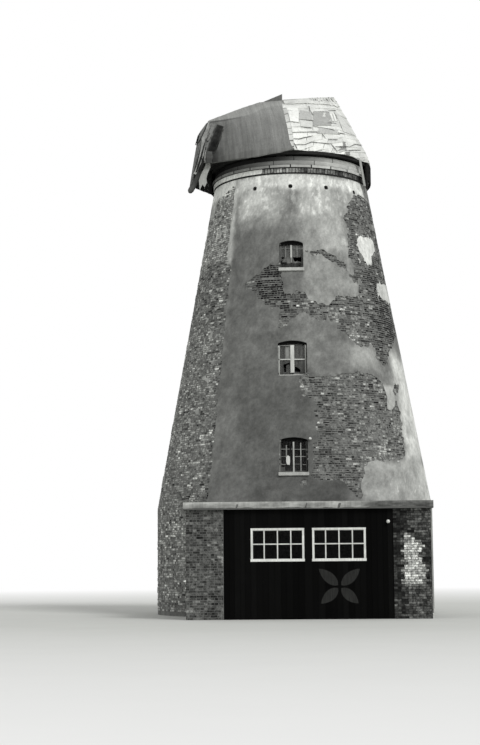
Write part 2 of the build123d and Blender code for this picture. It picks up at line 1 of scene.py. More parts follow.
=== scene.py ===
import bpy, math
import numpy as np
from mathutils import Matrix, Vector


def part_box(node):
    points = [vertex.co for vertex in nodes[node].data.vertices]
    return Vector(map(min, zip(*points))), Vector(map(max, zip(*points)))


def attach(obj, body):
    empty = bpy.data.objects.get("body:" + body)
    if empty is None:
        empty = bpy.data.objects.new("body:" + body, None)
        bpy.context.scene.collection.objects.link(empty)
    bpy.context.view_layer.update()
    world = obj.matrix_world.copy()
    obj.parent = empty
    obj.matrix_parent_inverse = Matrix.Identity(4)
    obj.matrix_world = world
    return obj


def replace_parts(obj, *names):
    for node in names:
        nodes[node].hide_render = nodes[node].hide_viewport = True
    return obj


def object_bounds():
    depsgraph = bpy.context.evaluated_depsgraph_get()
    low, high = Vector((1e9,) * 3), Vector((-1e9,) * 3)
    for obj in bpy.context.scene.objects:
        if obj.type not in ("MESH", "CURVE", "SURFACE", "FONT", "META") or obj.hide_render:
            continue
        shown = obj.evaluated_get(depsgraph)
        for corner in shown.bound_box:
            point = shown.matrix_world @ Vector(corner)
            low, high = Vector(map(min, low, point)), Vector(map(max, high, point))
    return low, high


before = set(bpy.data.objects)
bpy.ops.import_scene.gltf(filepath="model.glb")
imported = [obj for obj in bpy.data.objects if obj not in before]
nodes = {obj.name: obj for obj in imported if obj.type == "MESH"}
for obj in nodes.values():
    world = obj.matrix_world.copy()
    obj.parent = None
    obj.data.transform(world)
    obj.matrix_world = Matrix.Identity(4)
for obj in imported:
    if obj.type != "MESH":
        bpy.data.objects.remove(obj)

cadBox = [list(map(float, corner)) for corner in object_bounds()]
chance = np.random.default_rng(1903)
lattice = np.random.default_rng(47).random((512, 512))

# the photograph's view: a long lens held at eye height, tipped up, in line with the windows
view = {
    "distance": 57.5,
    "eye": 1.76,
    "pitch": 7.08,
    "yaw": 1.96,
    "roll": 0.45,
    "focal": 1550.0,  # in pixels of the photograph
    "frameHeight": 745.0,
    "film": 36.0,
}


def addObject(name, data):
    obj = bpy.data.objects.new(name, data)
    bpy.context.scene.collection.objects.link(obj)
    return obj


def makeCamera():
    cam = bpy.data.cameras.new("camera")
    obj = addObject("camera", cam)
    bpy.context.scene.camera = obj
    cam.sensor_fit = "VERTICAL"
    cam.sensor_height = view["film"]
    cam.lens = view["focal"] * view["film"] / view["frameHeight"]
    cam.clip_end = 500
    turn = Matrix.Rotation(math.radians(view["yaw"]), 4, "Z")
    tip = Matrix.Rotation(math.radians(90 + view["pitch"]), 4, "X")
    lean = Matrix.Rotation(-math.radians(view["roll"]), 4, "Z")
    place = Matrix.Translation((0, -view["distance"], view["eye"]))
    obj.matrix_world = place @ turn @ tip @ lean
    print("camera set")


sky = {"light": 0.78, "seen": 1.0, "sunStrength": 1.5, "sunTurn": 40, "sunTip": 50, "sunSize": 20}


def makeLight():
    world = bpy.data.worlds.new("sky")
    bpy.context.scene.world = world
    world.use_nodes = True
    tree = world.node_tree
    tree.nodes.clear()
    out = tree.nodes.new("ShaderNodeOutputWorld")
    mix = tree.nodes.new("ShaderNodeMixShader")
    lamp = tree.nodes.new("ShaderNodeBackground")
    seen = tree.nodes.new("ShaderNodeBackground")
    lamp.inputs["Strength"].default_value = sky["light"]
    seen.inputs["Color"].default_value = (1, 1, 1, 1)
    seen.inputs["Strength"].default_value = sky["seen"]
    tree.links.new(seenDirectly(tree), mix.inputs["Fac"])
    tree.links.new(lamp.outputs[0], mix.inputs[1])
    tree.links.new(seen.outputs[0], mix.inputs[2])
    tree.links.new(mix.outputs[0], out.inputs["Surface"])
    sun = bpy.data.lights.new("sun", "SUN")
    sun.energy = sky["sunStrength"]
    sun.angle = math.radians(sky["sunSize"])
    obj = addObject("sun", sun)
    obj.rotation_euler = (math.radians(sky["sunTip"]), 0, math.radians(sky["sunTurn"]))
    print("light set")


def seenDirectly(tree):
    # 1 for what the camera, a reflection or a pane of glass shows, 0 for light on the mill
    path = tree.nodes.new("ShaderNodeLightPath")
    total = path.outputs["Is Camera Ray"]
    for kind in ("Is Glossy Ray", "Is Transmission Ray"):
        add = tree.nodes.new("ShaderNodeMath")
        add.operation = "MAXIMUM"
        tree.links.new(total, add.inputs[0])
        tree.links.new(path.outputs[kind], add.inputs[1])
        total = add.outputs[0]
    return total


# noise that repeats on every run
def speckle(x, y):
    xi, yi = np.floor(x).astype(int), np.floor(y).astype(int)
    fx, fy = x - xi, y - yi
    fx, fy = fx * fx * (3 - 2 * fx), fy * fy * (3 - 2 * fy)
    size = len(lattice)
    low = lattice[xi % size, yi % size] * (1 - fx) + lattice[(xi + 1) % size, yi % size] * fx
    high = lattice[xi % size, (yi + 1) % size] * (1 - fx) + lattice[(xi + 1) % size, (yi + 1) % size] * fx
    return low * (1 - fy) + high * fy


def cloud(x, y, octaves=4):
    total, weight, share = 0.0, 0.0, 1.0
    for step in range(octaves):
        total = total + share * speckle(x * 2 ** step + 17.3 * step, y * 2 ** step + 5.1 * step)
        weight += share
        share *= 0.55
    return total / weight


def swing(x, y, size, octaves=4):
    # the same noise about zero
    return (cloud(x, y, octaves) - 0.5) * size


def least(*levels):
    total = levels[0]
    for level in levels[1:]:
        total = np.minimum(total, level)
    return total


def soften(value, low, high):
    t = np.clip((value - low) / (high - low), 0, 1)
    return t * t * (3 - 2 * t)


def fraction(value):
    return value - np.floor(value)


def grey(level):
    # a grey as the print shows it, 0 to 255, to the lightness a shader wants
    return (np.clip(np.asarray(level, float), 0, 255) / 255) ** 2.2


# faces of a block from its eight corners
boxFaces = np.array([
    (0, 1, 2, 3), (7, 6, 5, 4), (0, 4, 5, 1), (1, 5, 6, 2), (2, 6, 7, 3), (3, 7, 4, 0)])
openBox = boxFaces[[0, 2, 3, 4, 5]]  # no back, for what lies on a wall


class Heap:
    # mesh parts gathered into one piece
    def __init__(self):
        self.verts, self.faces, self.tones, self.count = [], [], [], 0

    def add(self, verts, faces, tone=0.5):
        verts = np.asarray(verts, float).reshape(-1, 3)
        self.verts.append(verts)
        self.faces.extend([[int(i) + self.count for i in face] for face in faces])
        self.tones.append(np.broadcast_to(np.asarray(tone, float), (len(verts),)))
        self.count += len(verts)

    def addCopies(self, corners, faces, tones):
        many, each = corners.shape[:2]
        index = faces[None] + (np.arange(many) * each)[:, None, None] + self.count
        self.verts.append(corners.reshape(-1, 3))
        self.faces.extend(index.reshape(-1, faces.shape[1]).tolist())
        self.tones.append(np.repeat(np.asarray(tones, float), each))
        self.count += many * each

    def build(self, name, body, slot, material, smooth=False):
        mesh = bpy.data.meshes.new(name)
        mesh.from_pydata(np.concatenate(self.verts).tolist(), [], self.faces)
        tone = mesh.attributes.new("tone", "FLOAT", "POINT")
        tone.data.foreach_set("value", np.concatenate(self.tones))
        mesh.materials.append(material)
        mesh.validate()
        if smooth:
            mesh.polygons.foreach_set("use_smooth", [True] * len(mesh.polygons))
        mesh.update()
        obj = addObject(name, mesh)
        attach(obj, body)
        return obj


def blockCorners(centre, right, up, depth):
    # corners of a block from its half-size vectors; depth points away from the viewer
    centre, right, up, depth = (np.asarray(v, float) for v in (centre, right, up, depth))
    ring = (-right - up, right - up, right + up, -right + up)
    return np.array([centre - depth + p for p in ring] + [centre + depth + p for p in ring])


def prism(heap, front, back, tone):
    # a flat piece between two like outlines; front runs counter-clockwise as seen from its side
    count = len(front)
    faces = [tuple(range(count)), tuple(range(2 * count - 1, count - 1, -1))]
    faces += [((i + 1) % count, i, i + count, (i + 1) % count + count) for i in range(count)]
    heap.add(np.concatenate([front, back]), faces, tone)


def carve(heap, us, vs, keep, front, back, tone, lined=False, edgeShade=0.6):
    # a sheet on a grid that stays where keep is above zero; cut edges get walls down to the back
    gridU, gridV = np.meshgrid(us, vs, indexing="ij")
    level = keep(gridU, gridV)
    inside = level > 0
    index = np.full(level.shape, -1)
    index[inside] = np.arange(inside.sum())
    pointU, pointV = list(gridU[inside]), list(gridV[inside])
    corners = [inside[:-1, :-1], inside[1:, :-1], inside[1:, 1:], inside[:-1, 1:]]
    whole = corners[0] & corners[1] & corners[2] & corners[3]
    cut = (corners[0] | corners[1] | corners[2] | corners[3]) & ~whole
    i, j = np.nonzero(whole)
    faces = np.stack([index[i, j], index[i + 1, j], index[i + 1, j + 1], index[i, j + 1]], 1).tolist()
    crossings, rims = {}, []
    for i, j in zip(*(part.tolist() for part in np.nonzero(cut))):
        ring = ((i, j), (i + 1, j), (i + 1, j + 1), (i, j + 1))
        outline, marks = [], []
        for k in range(4):
            here, there = ring[k], ring[(k + 1) % 4]
            if inside[here]:
                outline.append(int(index[here]))
            if inside[here] == inside[there]:
                continue
            pair = (here, there) if here < there else (there, here)
            if pair not in crossings:
                first, last = level[pair[0]], level[pair[1]]
                share = first / (first - last)
                crossings[pair] = len(pointU)
                pointU.append(gridU[pair[0]] + (gridU[pair[1]] - gridU[pair[0]]) * share)
                pointV.append(gridV[pair[0]] + (gridV[pair[1]] - gridV[pair[0]]) * share)
            outline.append(crossings[pair])
            marks.append((crossings[pair], bool(inside[here])))
        faces.append(outline)
        for k, (point, leaving) in enumerate(marks):
            if leaving:
                rims.append((point, marks[(k + 1) % len(marks)][0]))
    pointU, pointV = np.array(pointU), np.array(pointV)
    tones = tone(pointU, pointV)
    verts = front(pointU, pointV)
    count = len(verts)
    if lined:
        verts = np.concatenate([verts, back(pointU, pointV)])
        tones = np.concatenate([tones, tones * edgeShade])
        faces += [[n + count for n in reversed(face)] for face in faces]
        faces += [(q, p, p + count, q + count) for p, q in rims]
    elif rims:
        rim = sorted({n for pair in rims for n in pair})
        place = {n: count + k for k, n in enumerate(rim)}
        verts = np.concatenate([verts, back(pointU[rim], pointV[rim])])
        tones = np.concatenate([tones, tones[rim] * edgeShade])
        faces += [(q, p, place[p], place[q]) for p, q in rims]
    heap.add(verts, faces, tones)


greyCast = (0.985, 1.0, 0.955)  # the print's faint green


class Finish:
    def __init__(self, name, rough=0.9, gloss=0.2):
        self.mat = bpy.data.materials.new(name)
        self.mat.use_nodes = True
        self.tree = self.mat.node_tree
        self.shader = self.tree.nodes["Principled BSDF"]
        self.shader.inputs["Roughness"].default_value = rough
        self.shader.inputs["Specular IOR Level"].default_value = gloss
        self.place = self.tree.nodes.new("ShaderNodeTexCoord").outputs["Object"]

    def link(self, source, socket):
        if isinstance(source, (int, float, tuple)):
            socket.default_value = source
        else:
            self.tree.links.new(source, socket)

    def node(self, kind, **inputs):
        node = self.tree.nodes.new("ShaderNode" + kind)
        for key, source in inputs.items():
            self.link(source, node.inputs[key])
        return node

    def math(self, operation, first, second=0.0):
        node = self.node("Math")
        node.operation = operation
        self.link(first, node.inputs[0])
        self.link(second, node.inputs[1])
        return node.outputs[0]

    def noise(self, scale, detail=4, soft=0.55, stretch=(1, 1, 1), shift=0.0):
        mapping = self.node("Mapping", Vector=self.place, Scale=stretch,
                            Location=(shift, shift * 0.7, shift * 0.3))
        noise = self.node("TexNoise", Vector=mapping.outputs[0], Scale=scale, Detail=detail, Roughness=soft)
        return noise.outputs["Fac"]

    def spread(self, value, low, high, outLow, outHigh):
        node = self.node("MapRange", Value=value)
        for key, number in (("From Min", low), ("From Max", high), ("To Min", outLow), ("To Max", outHigh)):
            node.inputs[key].default_value = number
        return node.outputs[0]

    def mottle(self, low, high, *noise, **more):
        return self.spread(self.noise(*noise, **more), 0.3, 0.7, low, high)

    def tone(self):
        node = self.node("Attribute")
        node.attribute_name = "tone"
        return node.outputs["Fac"]

    def base(self, level):
        # one grey for the whole piece, or the grey that each point brings
        return self.tone() if level is None else float(grey(level))

    def colour(self, value):
        red, green, blue = (self.math("MULTIPLY", value, share) for share in greyCast)
        node = self.node("CombineColor", Red=red, Green=green, Blue=blue)
        self.link(node.outputs[0], self.shader.inputs["Base Color"])

    def times(self, *factors):
        total = factors[0]
        for factor in factors[1:]:
            total = self.math("MULTIPLY", total, factor)
        return total

    def bump(self, height, distance, strength=1.0):
        node = self.node("Bump", Strength=strength, Distance=distance, Height=height)
        self.link(node.outputs[0], self.shader.inputs["Normal"])

    def roughness(self, value, low, high):
        self.link(self.spread(value, 0.3, 0.7, low, high), self.shader.inputs["Roughness"])

    def surface(self, relief, depth, strength, wear, low, high):
        # relief and uneven gloss, each from a noise of its own: relief is its scale and detail
        self.bump(self.noise(*relief), depth, strength)
        self.roughness(self.noise(wear), low, high)
        return self.mat


def renderFinish():
    f = Finish("weatheredRender", 0.92, 0.15)
    broad = f.mottle(0.88, 1.1, 1.1, 5, 0.6)
    fine = f.mottle(0.86, 1.12, 16, 5, 0.65)
    runs = f.spread(f.noise(5, 4, 0.6, (1, 1, 0.16)), 0.35, 0.7, 1.05, 0.9)
    f.colour(f.times(f.tone(), broad, fine, runs))
    grain = f.noise(70, 3)
    f.bump(f.math("ADD", f.noise(7, 5), f.math("MULTIPLY", grain, 0.35)), 0.02, 0.7)
    f.roughness(grain, 0.85, 0.98)
    return f.mat


def brickFinish():
    f = Finish("oldBrick", 0.9, 0.2)
    fine = f.mottle(0.75, 1.2, 45, 4, 0.6)
    lime = f.spread(f.noise(3.2, 5, 0.65, shift=4), 0.56, 0.7, 0.0, 0.16)
    pits = f.spread(f.noise(9, 4, 0.75, shift=7), 0.4, 0.62, 0.4, 1.65)
    f.colour(f.times(pits, f.math("ADD", f.times(f.tone(), fine), f.times(lime, f.tone()))))
    return f.surface((60, 4), 0.006, 0.8, 30, 0.8, 0.98)


def jointFinish(name, low, high, scale=3.0):
    f = Finish(name, 0.95, 0.1)
    broad = f.mottle(low, high, scale, 5, 0.6)
    f.colour(f.times(broad, f.mottle(0.8, 1.2, 60, 4)))
    return f.surface((80, 4), 0.01, 0.8, 40, 0.86, 0.99)


def timberFinish(name, low, high, grain=(14, 14, 0.7), toned=False, rough=0.85, gloss=0.2):
    # grain gives how tight the noise runs along each axis: small along the boards
    f = Finish(name, rough, gloss)
    fibre = f.noise(3.0, 6, 0.65, grain)
    broad = f.mottle(0.85, 1.12, 1.7, 4, shift=3)
    value = f.times(f.spread(fibre, 0.3, 0.72, low, high), broad)
    f.colour(f.times(value, f.tone()) if toned else value)
    f.bump(fibre, 0.006, 0.8)
    f.roughness(fibre, rough - 0.08, rough + 0.08)
    return f.mat


def feltFinish(name="patchedFelt", streak=(9, 9, 0.45), level=None):
    f = Finish(name, 0.82, 0.3)
    base = f.base(level)
    streaks = f.noise(2.4, 6, 0.62, streak)
    runs = f.spread(streaks, 0.3, 0.7, 0.84, 1.14)
    blots = f.mottle(0.88, 1.1, 1.2, 5, 0.6, shift=6)
    f.colour(f.times(runs, blots, base, f.mottle(0.9, 1.1, 70, 3)))
    f.bump(f.math("ADD", f.noise(120, 2), f.math("MULTIPLY", streaks, 2)), 0.004, 0.7)
    f.roughness(blots, 0.7, 0.92)
    return f.mat


def slateFinish(name="roofSheets", level=None):
    f = Finish(name, 0.6, 0.35)
    base = f.base(level)
    stain = f.mottle(0.8, 1.06, 1.6, 6, 0.65)
    runs = f.spread(f.noise(3, 5, 0.6, (5, 5, 0.8), shift=2), 0.3, 0.68, 0.82, 1.05)
    f.colour(f.times(stain, runs, base))
    f.bump(f.noise(9, 5), 0.006, 0.6)
    f.roughness(stain, 0.5, 0.8)
    return f.mat


def paintFinish():
    f = Finish("flakedPaint", 0.6, 0.35)
    worn = f.spread(f.noise(13, 6, 0.7, (1, 1, 0.6)), 0.6, 0.68, 1.0, 0.45)
    f.colour(f.times(f.mottle(0.56, 0.78, 2.5, 4), worn))
    f.bump(worn, 0.002, 0.8)
    f.roughness(f.noise(8), 0.5, 0.78)
    return f.mat


def glassFinish():
    f = Finish("dustyGlass", 0.2, 0.08)
    dust = f.noise(6, 5, 0.7, (1, 1, 0.5))
    f.colour(f.times(f.tone(), f.spread(dust, 0.3, 0.7, 0.7, 1.25)))
    f.link(f.spread(dust, 0.3, 0.75, 0.62, 0.95), f.shader.inputs["Alpha"])
    f.roughness(dust, 0.06, 0.3)
    return f.mat


def ironFinish():
    f = Finish("rustyIron", 0.7, 0.4)
    f.shader.inputs["Metallic"].default_value = 0.4
    f.colour(f.mottle(0.015, 0.06, 25, 5, 0.65))
    return f.surface((60, 4), 0.002, 0.8, 20, 0.5, 0.85)


def porcelainFinish():
    f = Finish("porcelain", 0.25, 0.5)
    f.colour(f.spread(f.noise(20, 4), 0.3, 0.75, 0.8, 0.55))
    return f.surface((30, 3), 0.0005, 0.5, 15, 0.2, 0.4)


finishes = {
    "render": renderFinish(),
    "brick": brickFinish(),
    "mortar": jointFinish("limeMortar", 0.13, 0.25),
    "darkJoint": jointFinish("darkJoint", 0.008, 0.03),
    "screed": jointFinish("wornScreed", 0.12, 0.2, 1.2),
    "sillStone": jointFinish("paleStone", 0.42, 0.62, 6.0),
    "sillPieces": timberFinish("ledgeStone", 0.75, 1.2, (2, 2, 3), True),
    "barPieces": timberFinish("weatheredBars", 0.75, 1.15, (8, 8, 1.2), True),
    "petalPaint": timberFinish("fadedPetalPaint", 0.55, 1.3, (9, 9, 0.8), True, 0.75, 0.1),
    "greyFrame": timberFinish("greyWindowFrame", 0.07, 0.2, (10, 10, 1.5)),
    "logPieces": timberFinish("greyLog", 0.65, 1.3, (10, 10, 1.2), True),
    "floorBoards": timberFinish("oldFloorBoards", 0.04, 0.11, (0.6, 12, 12)),
    "curbPieces": timberFinish("weatheredFelloes", 0.7, 1.2, (1.5, 1.5, 22), True),
    "capTimber": timberFinish("darkCapTimber", 0.014, 0.04, (0.9, 12, 12), gloss=0.08),
    "curbDark": timberFinish("curbUnderside", 0.012, 0.04, (1.5, 1.5, 22), gloss=0.08),
    "silver": timberFinish("silveredBoards", 0.08, 0.24, (12, 12, 0.8)),
    "silverPieces": timberFinish("silveredStrips", 0.65, 1.25, (14, 14, 0.6), True),
    "skirt": timberFinish("darkSkirtBoards", 0.008, 0.022, (16, 16, 0.8), gloss=0.05),
    "skirtPieces": timberFinish("darkSkirtPieces", 0.6, 1.4, (16, 16, 0.8), True, gloss=0.05),
    "tar": timberFinish("tarredPlanks", 0.002, 0.006, (16, 16, 0.7), rough=0.75, gloss=0.05),
    "tarPieces": timberFinish("tarredBoards", 0.6, 1.4, (16, 16, 0.7), True, 0.75, 0.05),
    "felt": feltFinish(),
    "flatFelt": feltFinish("flatFelt", (1.2, 2.5, 3)),
    "slate": slateFinish(),
    "feltBoards": feltFinish("feltOnBoards", level=110),
    "flatRoof": feltFinish("flatRoofFelt", (1.2, 2.5, 3), 95),
    "slateBase": slateFinish("slateUnderlay", 150),
    "paint": paintFinish(),
    "glass": glassFinish(),
    "iron": ironFinish(),
    "porcelain": porcelainFinish(),
}
print("finishes made")


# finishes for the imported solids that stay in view
wallNames = ("front", "front_right", "right", "rear_right", "rear", "rear_left", "left", "front_left")
solidFinishes = {
    "mortar": ["wall_" + name for name in wallNames] + [
        "annex_pier_left", "annex_wall_left", "annex_wall_right"],
    "darkJoint": ["rowlock_course", "annex_pier_right"],
    "screed": ["ground_floor", "annex_floor"],
    "floorBoards": ["lower_floor", "middle_floor", "top_floor"],
    "sillStone": ["window_sills", "rear_window_sills"],
    "curbDark": ["curb_ledge", "curb_ring"],
    "capTimber": ["cap_ring", "slide_blocks", "sheers", "tail_beam", "rafters", "ridge_beam", "gable_rails"],
    "greyFrame": ["window_lower", "window_top", "rear_window_lower", "rear_window_top"],
    "silver": ["gable_boards", "verge_boards", "hanging_plank", "tail_brace"],
    "skirt": ["front_skirt", "tail_skirt"],
    "tar": ["annex_front", "rear_door", "rear_door_frame"],
    "paint": ["window_middle", "rear_window_middle", "annex_window_left", "annex_window_right"],
    "slateBase": ["slate_roof_near", "slate_roof_far"],
    "feltBoards": ["felt_roof_near", "felt_roof_far", "felt_flap"],
    "flatRoof": ["annex_roof", "annex_fascia"],
}


def dressSolids():
    for key, names in solidFinishes.items():
        for name in names:
            obj = nodes[name]
            for slot in obj.material_slots:
                slot.material = finishes[key]
    print("packed solids dressed")


# the round tower's own shape, from the imported coat
coatLow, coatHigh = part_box("render_coat")
tower = {
    "footRadius": coatHigh[0],
    "topRadius": 2.886,
    "footTop": 3.8,  # the wall starts to lean in above this
    "foot": coatLow[2],
    "top": coatHigh[2],
    "coat": 0.022,
    "metresPerDegree": 0.07,  # patches are measured at the middle of the tower
    "headRise": 0.09,
    "frameGap": 0.003,  # between a frame and the render round it
    "rim": 0.001,  # the render stops this far inside its top and foot
}


def towerRadius(z):
    share = np.clip((z - tower["footTop"]) / (tower["top"] - tower["footTop"]), 0, 1)
    return tower["footRadius"] + (tower["topRadius"] - tower["footRadius"]) * share


def towerPoint(azimuth, z, radius):
    # azimuth in degrees from the front, to the right
    angle = np.radians(azimuth)
    return np.stack([radius * np.sin(angle), -radius * np.cos(angle), z + 0 * angle], -1)


# bare patches, as azimuth in degrees and height in metres
patches = {
    "middle": (
        (-7.2, 12.35), (-12.8, 12.3), (-16, 12.1), (-19.4, 12), (-27.2, 11.75), (-27.2, 11.45), (-20, 11.3),
        (-18.9, 11), (-13.9, 10.8), (-8.3, 10.7), (-6.1, 10.55), (-7.2, 10.15), (-6.7, 10), (-2.2, 10),
        (-1.7, 10.2), (1.7, 10.4), (2.8, 10.52), (7.2, 10.52), (9.4, 10.3), (16.7, 10.28), (18.3, 10.4),
        (22.2, 10.25), (25, 10), (26.7, 9.85), (30.6, 9.6), (36.1, 9.35), (41.7, 9.32), (44.4, 9.5),
        (46.1, 9.3), (46.7, 9), (50.6, 8.75), (53.9, 8.8), (57.2, 9.1), (60, 9.4), (66, 9.7), (76, 10),
        (88, 10.3), (89, 14.6), (76, 15.1), (60, 15.25), (50.6, 15.15), (46, 15), (42.8, 14.7), (40, 14.4),
        (36.1, 14.2), (36.7, 14.05), (39.4, 13.95), (38.9, 13.6), (36.7, 13.4), (36.7, 13), (37.2, 12.7),
        (39.4, 12.3), (40.6, 11.8), (40.6, 11.3), (37.2, 11.1), (31.7, 11.15), (27.8, 11.25), (25, 11.1),
        (19.4, 10.85), (13.9, 10.9), (10, 11), (6.7, 11.25), (2.8, 11.3), (-3.9, 11.25), (-6, 11.95)),
    "slant": (
        (7.8, 12.75), (12.8, 12.85), (19.4, 12.88), (22.2, 12.75), (27.2, 12.65), (31.7, 12.45), (35, 12.15),
        (38.3, 12), (40.6, 11.8), (38.3, 11.7), (34.4, 12), (30.6, 12.3), (25, 12.4), (19.4, 12.68),
        (13.9, 12.65)),
    "lower": (
        (3.3, 8.15), (5, 8.25), (9.4, 8.2), (19.4, 8.2), (22.8, 8.3), (28.3, 8.4), (36.1, 8.4), (43.9, 8.3),
        (47.8, 8.2), (48.9, 8), (50, 7.6), (48.9, 7.2), (53, 7.15), (57.2, 7.5), (58.9, 7.2), (58.3, 6.6),
        (56.7, 6.4), (57.2, 5.7), (56.1, 5.5), (50, 5.35), (42.8, 5.35), (37.2, 5.3), (32.8, 5.15),
        (30, 5.05), (28.9, 4.7), (26.7, 4.45), (27.2, 4), (25.6, 4), (21.7, 4.2), (19.4, 4.5), (6.7, 4.7),
        (7.8, 5), (8.3, 5.9), (10, 6), (10.6, 6.4), (10, 6.8), (9.4, 7.4), (3.9, 7.5)),
    "spot": ((16, 13.72), (17.5, 13.8), (19.4, 13.72), (18, 13.66)),
    "underSill": ((2.8, 4.45), (3, 4.65), (5.2, 4.6), (5, 4.42)),
    "rightBits": ((56, 7.7), (58, 8.05), (62.8, 8.12), (61, 7.85)),
    "rearMiddle": (
        (172, 12.38), (165, 12.08), (161, 11.9), (153, 11.75), (154, 11.5), (158, 11.35), (161, 11.08),
        (164, 10.85), (174, 10.65), (173, 10.08), (178, 10.02), (182, 10.35), (188, 10.5), (190, 10.32),
        (197, 10.3), (200, 10.6), (200, 10.86), (189, 11.02), (183, 11.28), (177, 11.45), (174, 11.95)),
}
# render that still holds inside the bare patches
islands = {
    "bright": ((46, 13.4), (50, 13.55), (58, 13.62), (67, 13.6), (67, 13.2), (60, 12.9), (57, 12.55),
               (52, 12.5), (49, 12.8), (46.3, 13.05)),
    "lowerRight": ((60, 11.9), (75, 12), (89, 12), (89, 11.4), (75, 11.3), (62, 11.35), (58, 11.6)),
    "streak": ((60, 14.2), (75, 14.26), (89, 14.3), (89, 14.02), (66, 14.02)),
    "chip": ((49, 13.75), (49.4, 13.95), (52, 13.93), (51.5, 13.75)),
    "crumb": ((40.6, 11.7), (41.5, 11.95), (44.4, 11.9), (43.5, 11.7)),
    "flake": ((36, 13.7), (36.4, 13.86), (38, 13.82), (37.6, 13.7)),
}


def outlineDistance(azimuth, z, outline):
    # metres to a patch's edge, negative inside it
    scale = tower["metresPerDegree"]
    points = np.array(outline, float) * (scale, 1)
    x = azimuth * scale
    best = np.full(np.shape(x), 1e9)
    inside = np.zeros(np.shape(x), bool)
    for (x0, z0), (x1, z1) in zip(points, np.roll(points, -1, axis=0)):
        dx, dz = x1 - x0, z1 - z0
        share = np.clip(((x - x0) * dx + (z - z0) * dz) / (dx * dx + dz * dz), 0, 1)
        best = np.minimum(best, np.hypot(x - x0 - share * dx, z - z0 - share * dz))
        if dz != 0:
            inside ^= ((z0 > z) != (z1 > z)) & (x < dx * (z - z0) / dz + x0)
    return np.where(inside, -best, best)


def flatDistance(x, z, outline):
    # the same for an outline in metres on a flat face
    scale = tower["metresPerDegree"]
    return outlineDistance(x / scale, z, np.array(outline) / (scale, 1))


# openings in the round wall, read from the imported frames: azimuth, half width, bottom, crown, head rise
openings = []
for key in ("lower", "middle", "top"):
    for prefix, azimuth in (("window_", 0), ("rear_window_", 180)):
        low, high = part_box(prefix + key)
        openings.append((azimuth, (high[0] - low[0]) / 2 + tower["frameGap"], low[2],
                         high[2] + tower["frameGap"], tower["headRise"]))
low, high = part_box("rear_door_frame")
openings.append((180, (high[0] - low[0]) / 2 + tower["frameGap"], low[2] - 1, high[2] + tower["frameGap"], 0))
putlog = {"count": 14, "size": 0.15, "height": 15.27}


def openingDistance(azimuth, z):
    # metres outside the nearest window, door or putlog hole
    radius = towerRadius(z)
    best = np.full(np.shape(azimuth), 1e9)
    for middle, half, bottom, crown, rise in openings:
        x = radius * np.sin(np.radians(azimuth - middle))
        x = np.where(np.abs(azimuth - middle) < 60, x, 50)
        top = crown - rise * (x / half) ** 2
        best = np.minimum(best, np.maximum(np.maximum(np.abs(x) - half, z - top), bottom - z))
    step = 360 / putlog["count"]
    x = (azimuth - np.round(azimuth / step) * step) * math.pi / 180 * radius
    hole = np.maximum(np.abs(x), np.abs(z - putlog["height"])) - putlog["size"] / 2
    return np.minimum(best, hole)


coatWear = {
    # where the bare left side begins, as height and azimuth
    "leftEdge": ((0, -35.5), (7.2, -36.8), (8, -37.2), (12.4, -38.3), (12.8, -42.6), (15.75, -43.2)),
    "rearEdge": 232,
    "crumbs": 0.71,  # noise above this leaves a crumb of render in a bare patch
    "remains": 0.685,  # and on the bare side
    "limewash": 15.36,  # a pale band is left above this height
}


def coatLevel(azimuth, z):
    # above zero where the render still holds
    scale = tower["metresPerDegree"]
    ragged = swing(azimuth * 0.3, z * 4.2, 0.34, 5) + swing(azimuth * 1.3, z * 19, 0.1, 3)
    level = np.full(np.shape(azimuth), 9.0)
    for outline in patches.values():
        level = np.minimum(level, outlineDistance(azimuth, z, outline))
    lowerRear = outlineDistance(azimuth - 180, z, patches["lower"])
    level = np.minimum(level, lowerRear) + ragged
    crumbs = (cloud(azimuth * 0.55 + 40, z * 7.5, 4) - coatWear["crumbs"]) * 1.2
    level = np.maximum(level, crumbs)
    for outline in islands.values():
        level = np.maximum(level, -outlineDistance(azimuth, z, outline) + ragged * 0.5)

    edge = (azimuth - np.interp(z, *zip(*coatWear["leftEdge"]))) * scale
    edge = edge + swing(azimuth * 0.1 + 9, z * 5, 0.16, 5)
    fade = 0.05 * soften(-azimuth, 55, 110) - 0.06 * soften(z, 12.3, 13.2)
    remains = (cloud(azimuth * 0.42 + 70, z * 5.5, 5) - coatWear["remains"] - fade) * 1.1
    limewash = z - coatWear["limewash"] + 0.7 * soften(-azimuth, 58, 70) - 1.3 * soften(-azimuth, 80, 91)
    limewash = limewash + swing(azimuth * 0.22 + 33, z * 2.6, 0.8)
    limewash = limewash + swing(azimuth * 1.2 + 7, z * 17, 0.3, 3)
    leftSide = np.maximum(edge, np.maximum(remains, limewash))
    rearSide = (coatWear["rearEdge"] - azimuth) * scale + ragged * 0.5
    return least(level, leftSide, rearSide, openingDistance(azimuth, z),
                 z - tower["foot"] - tower["rim"], tower["top"] - tower["rim"] - z)
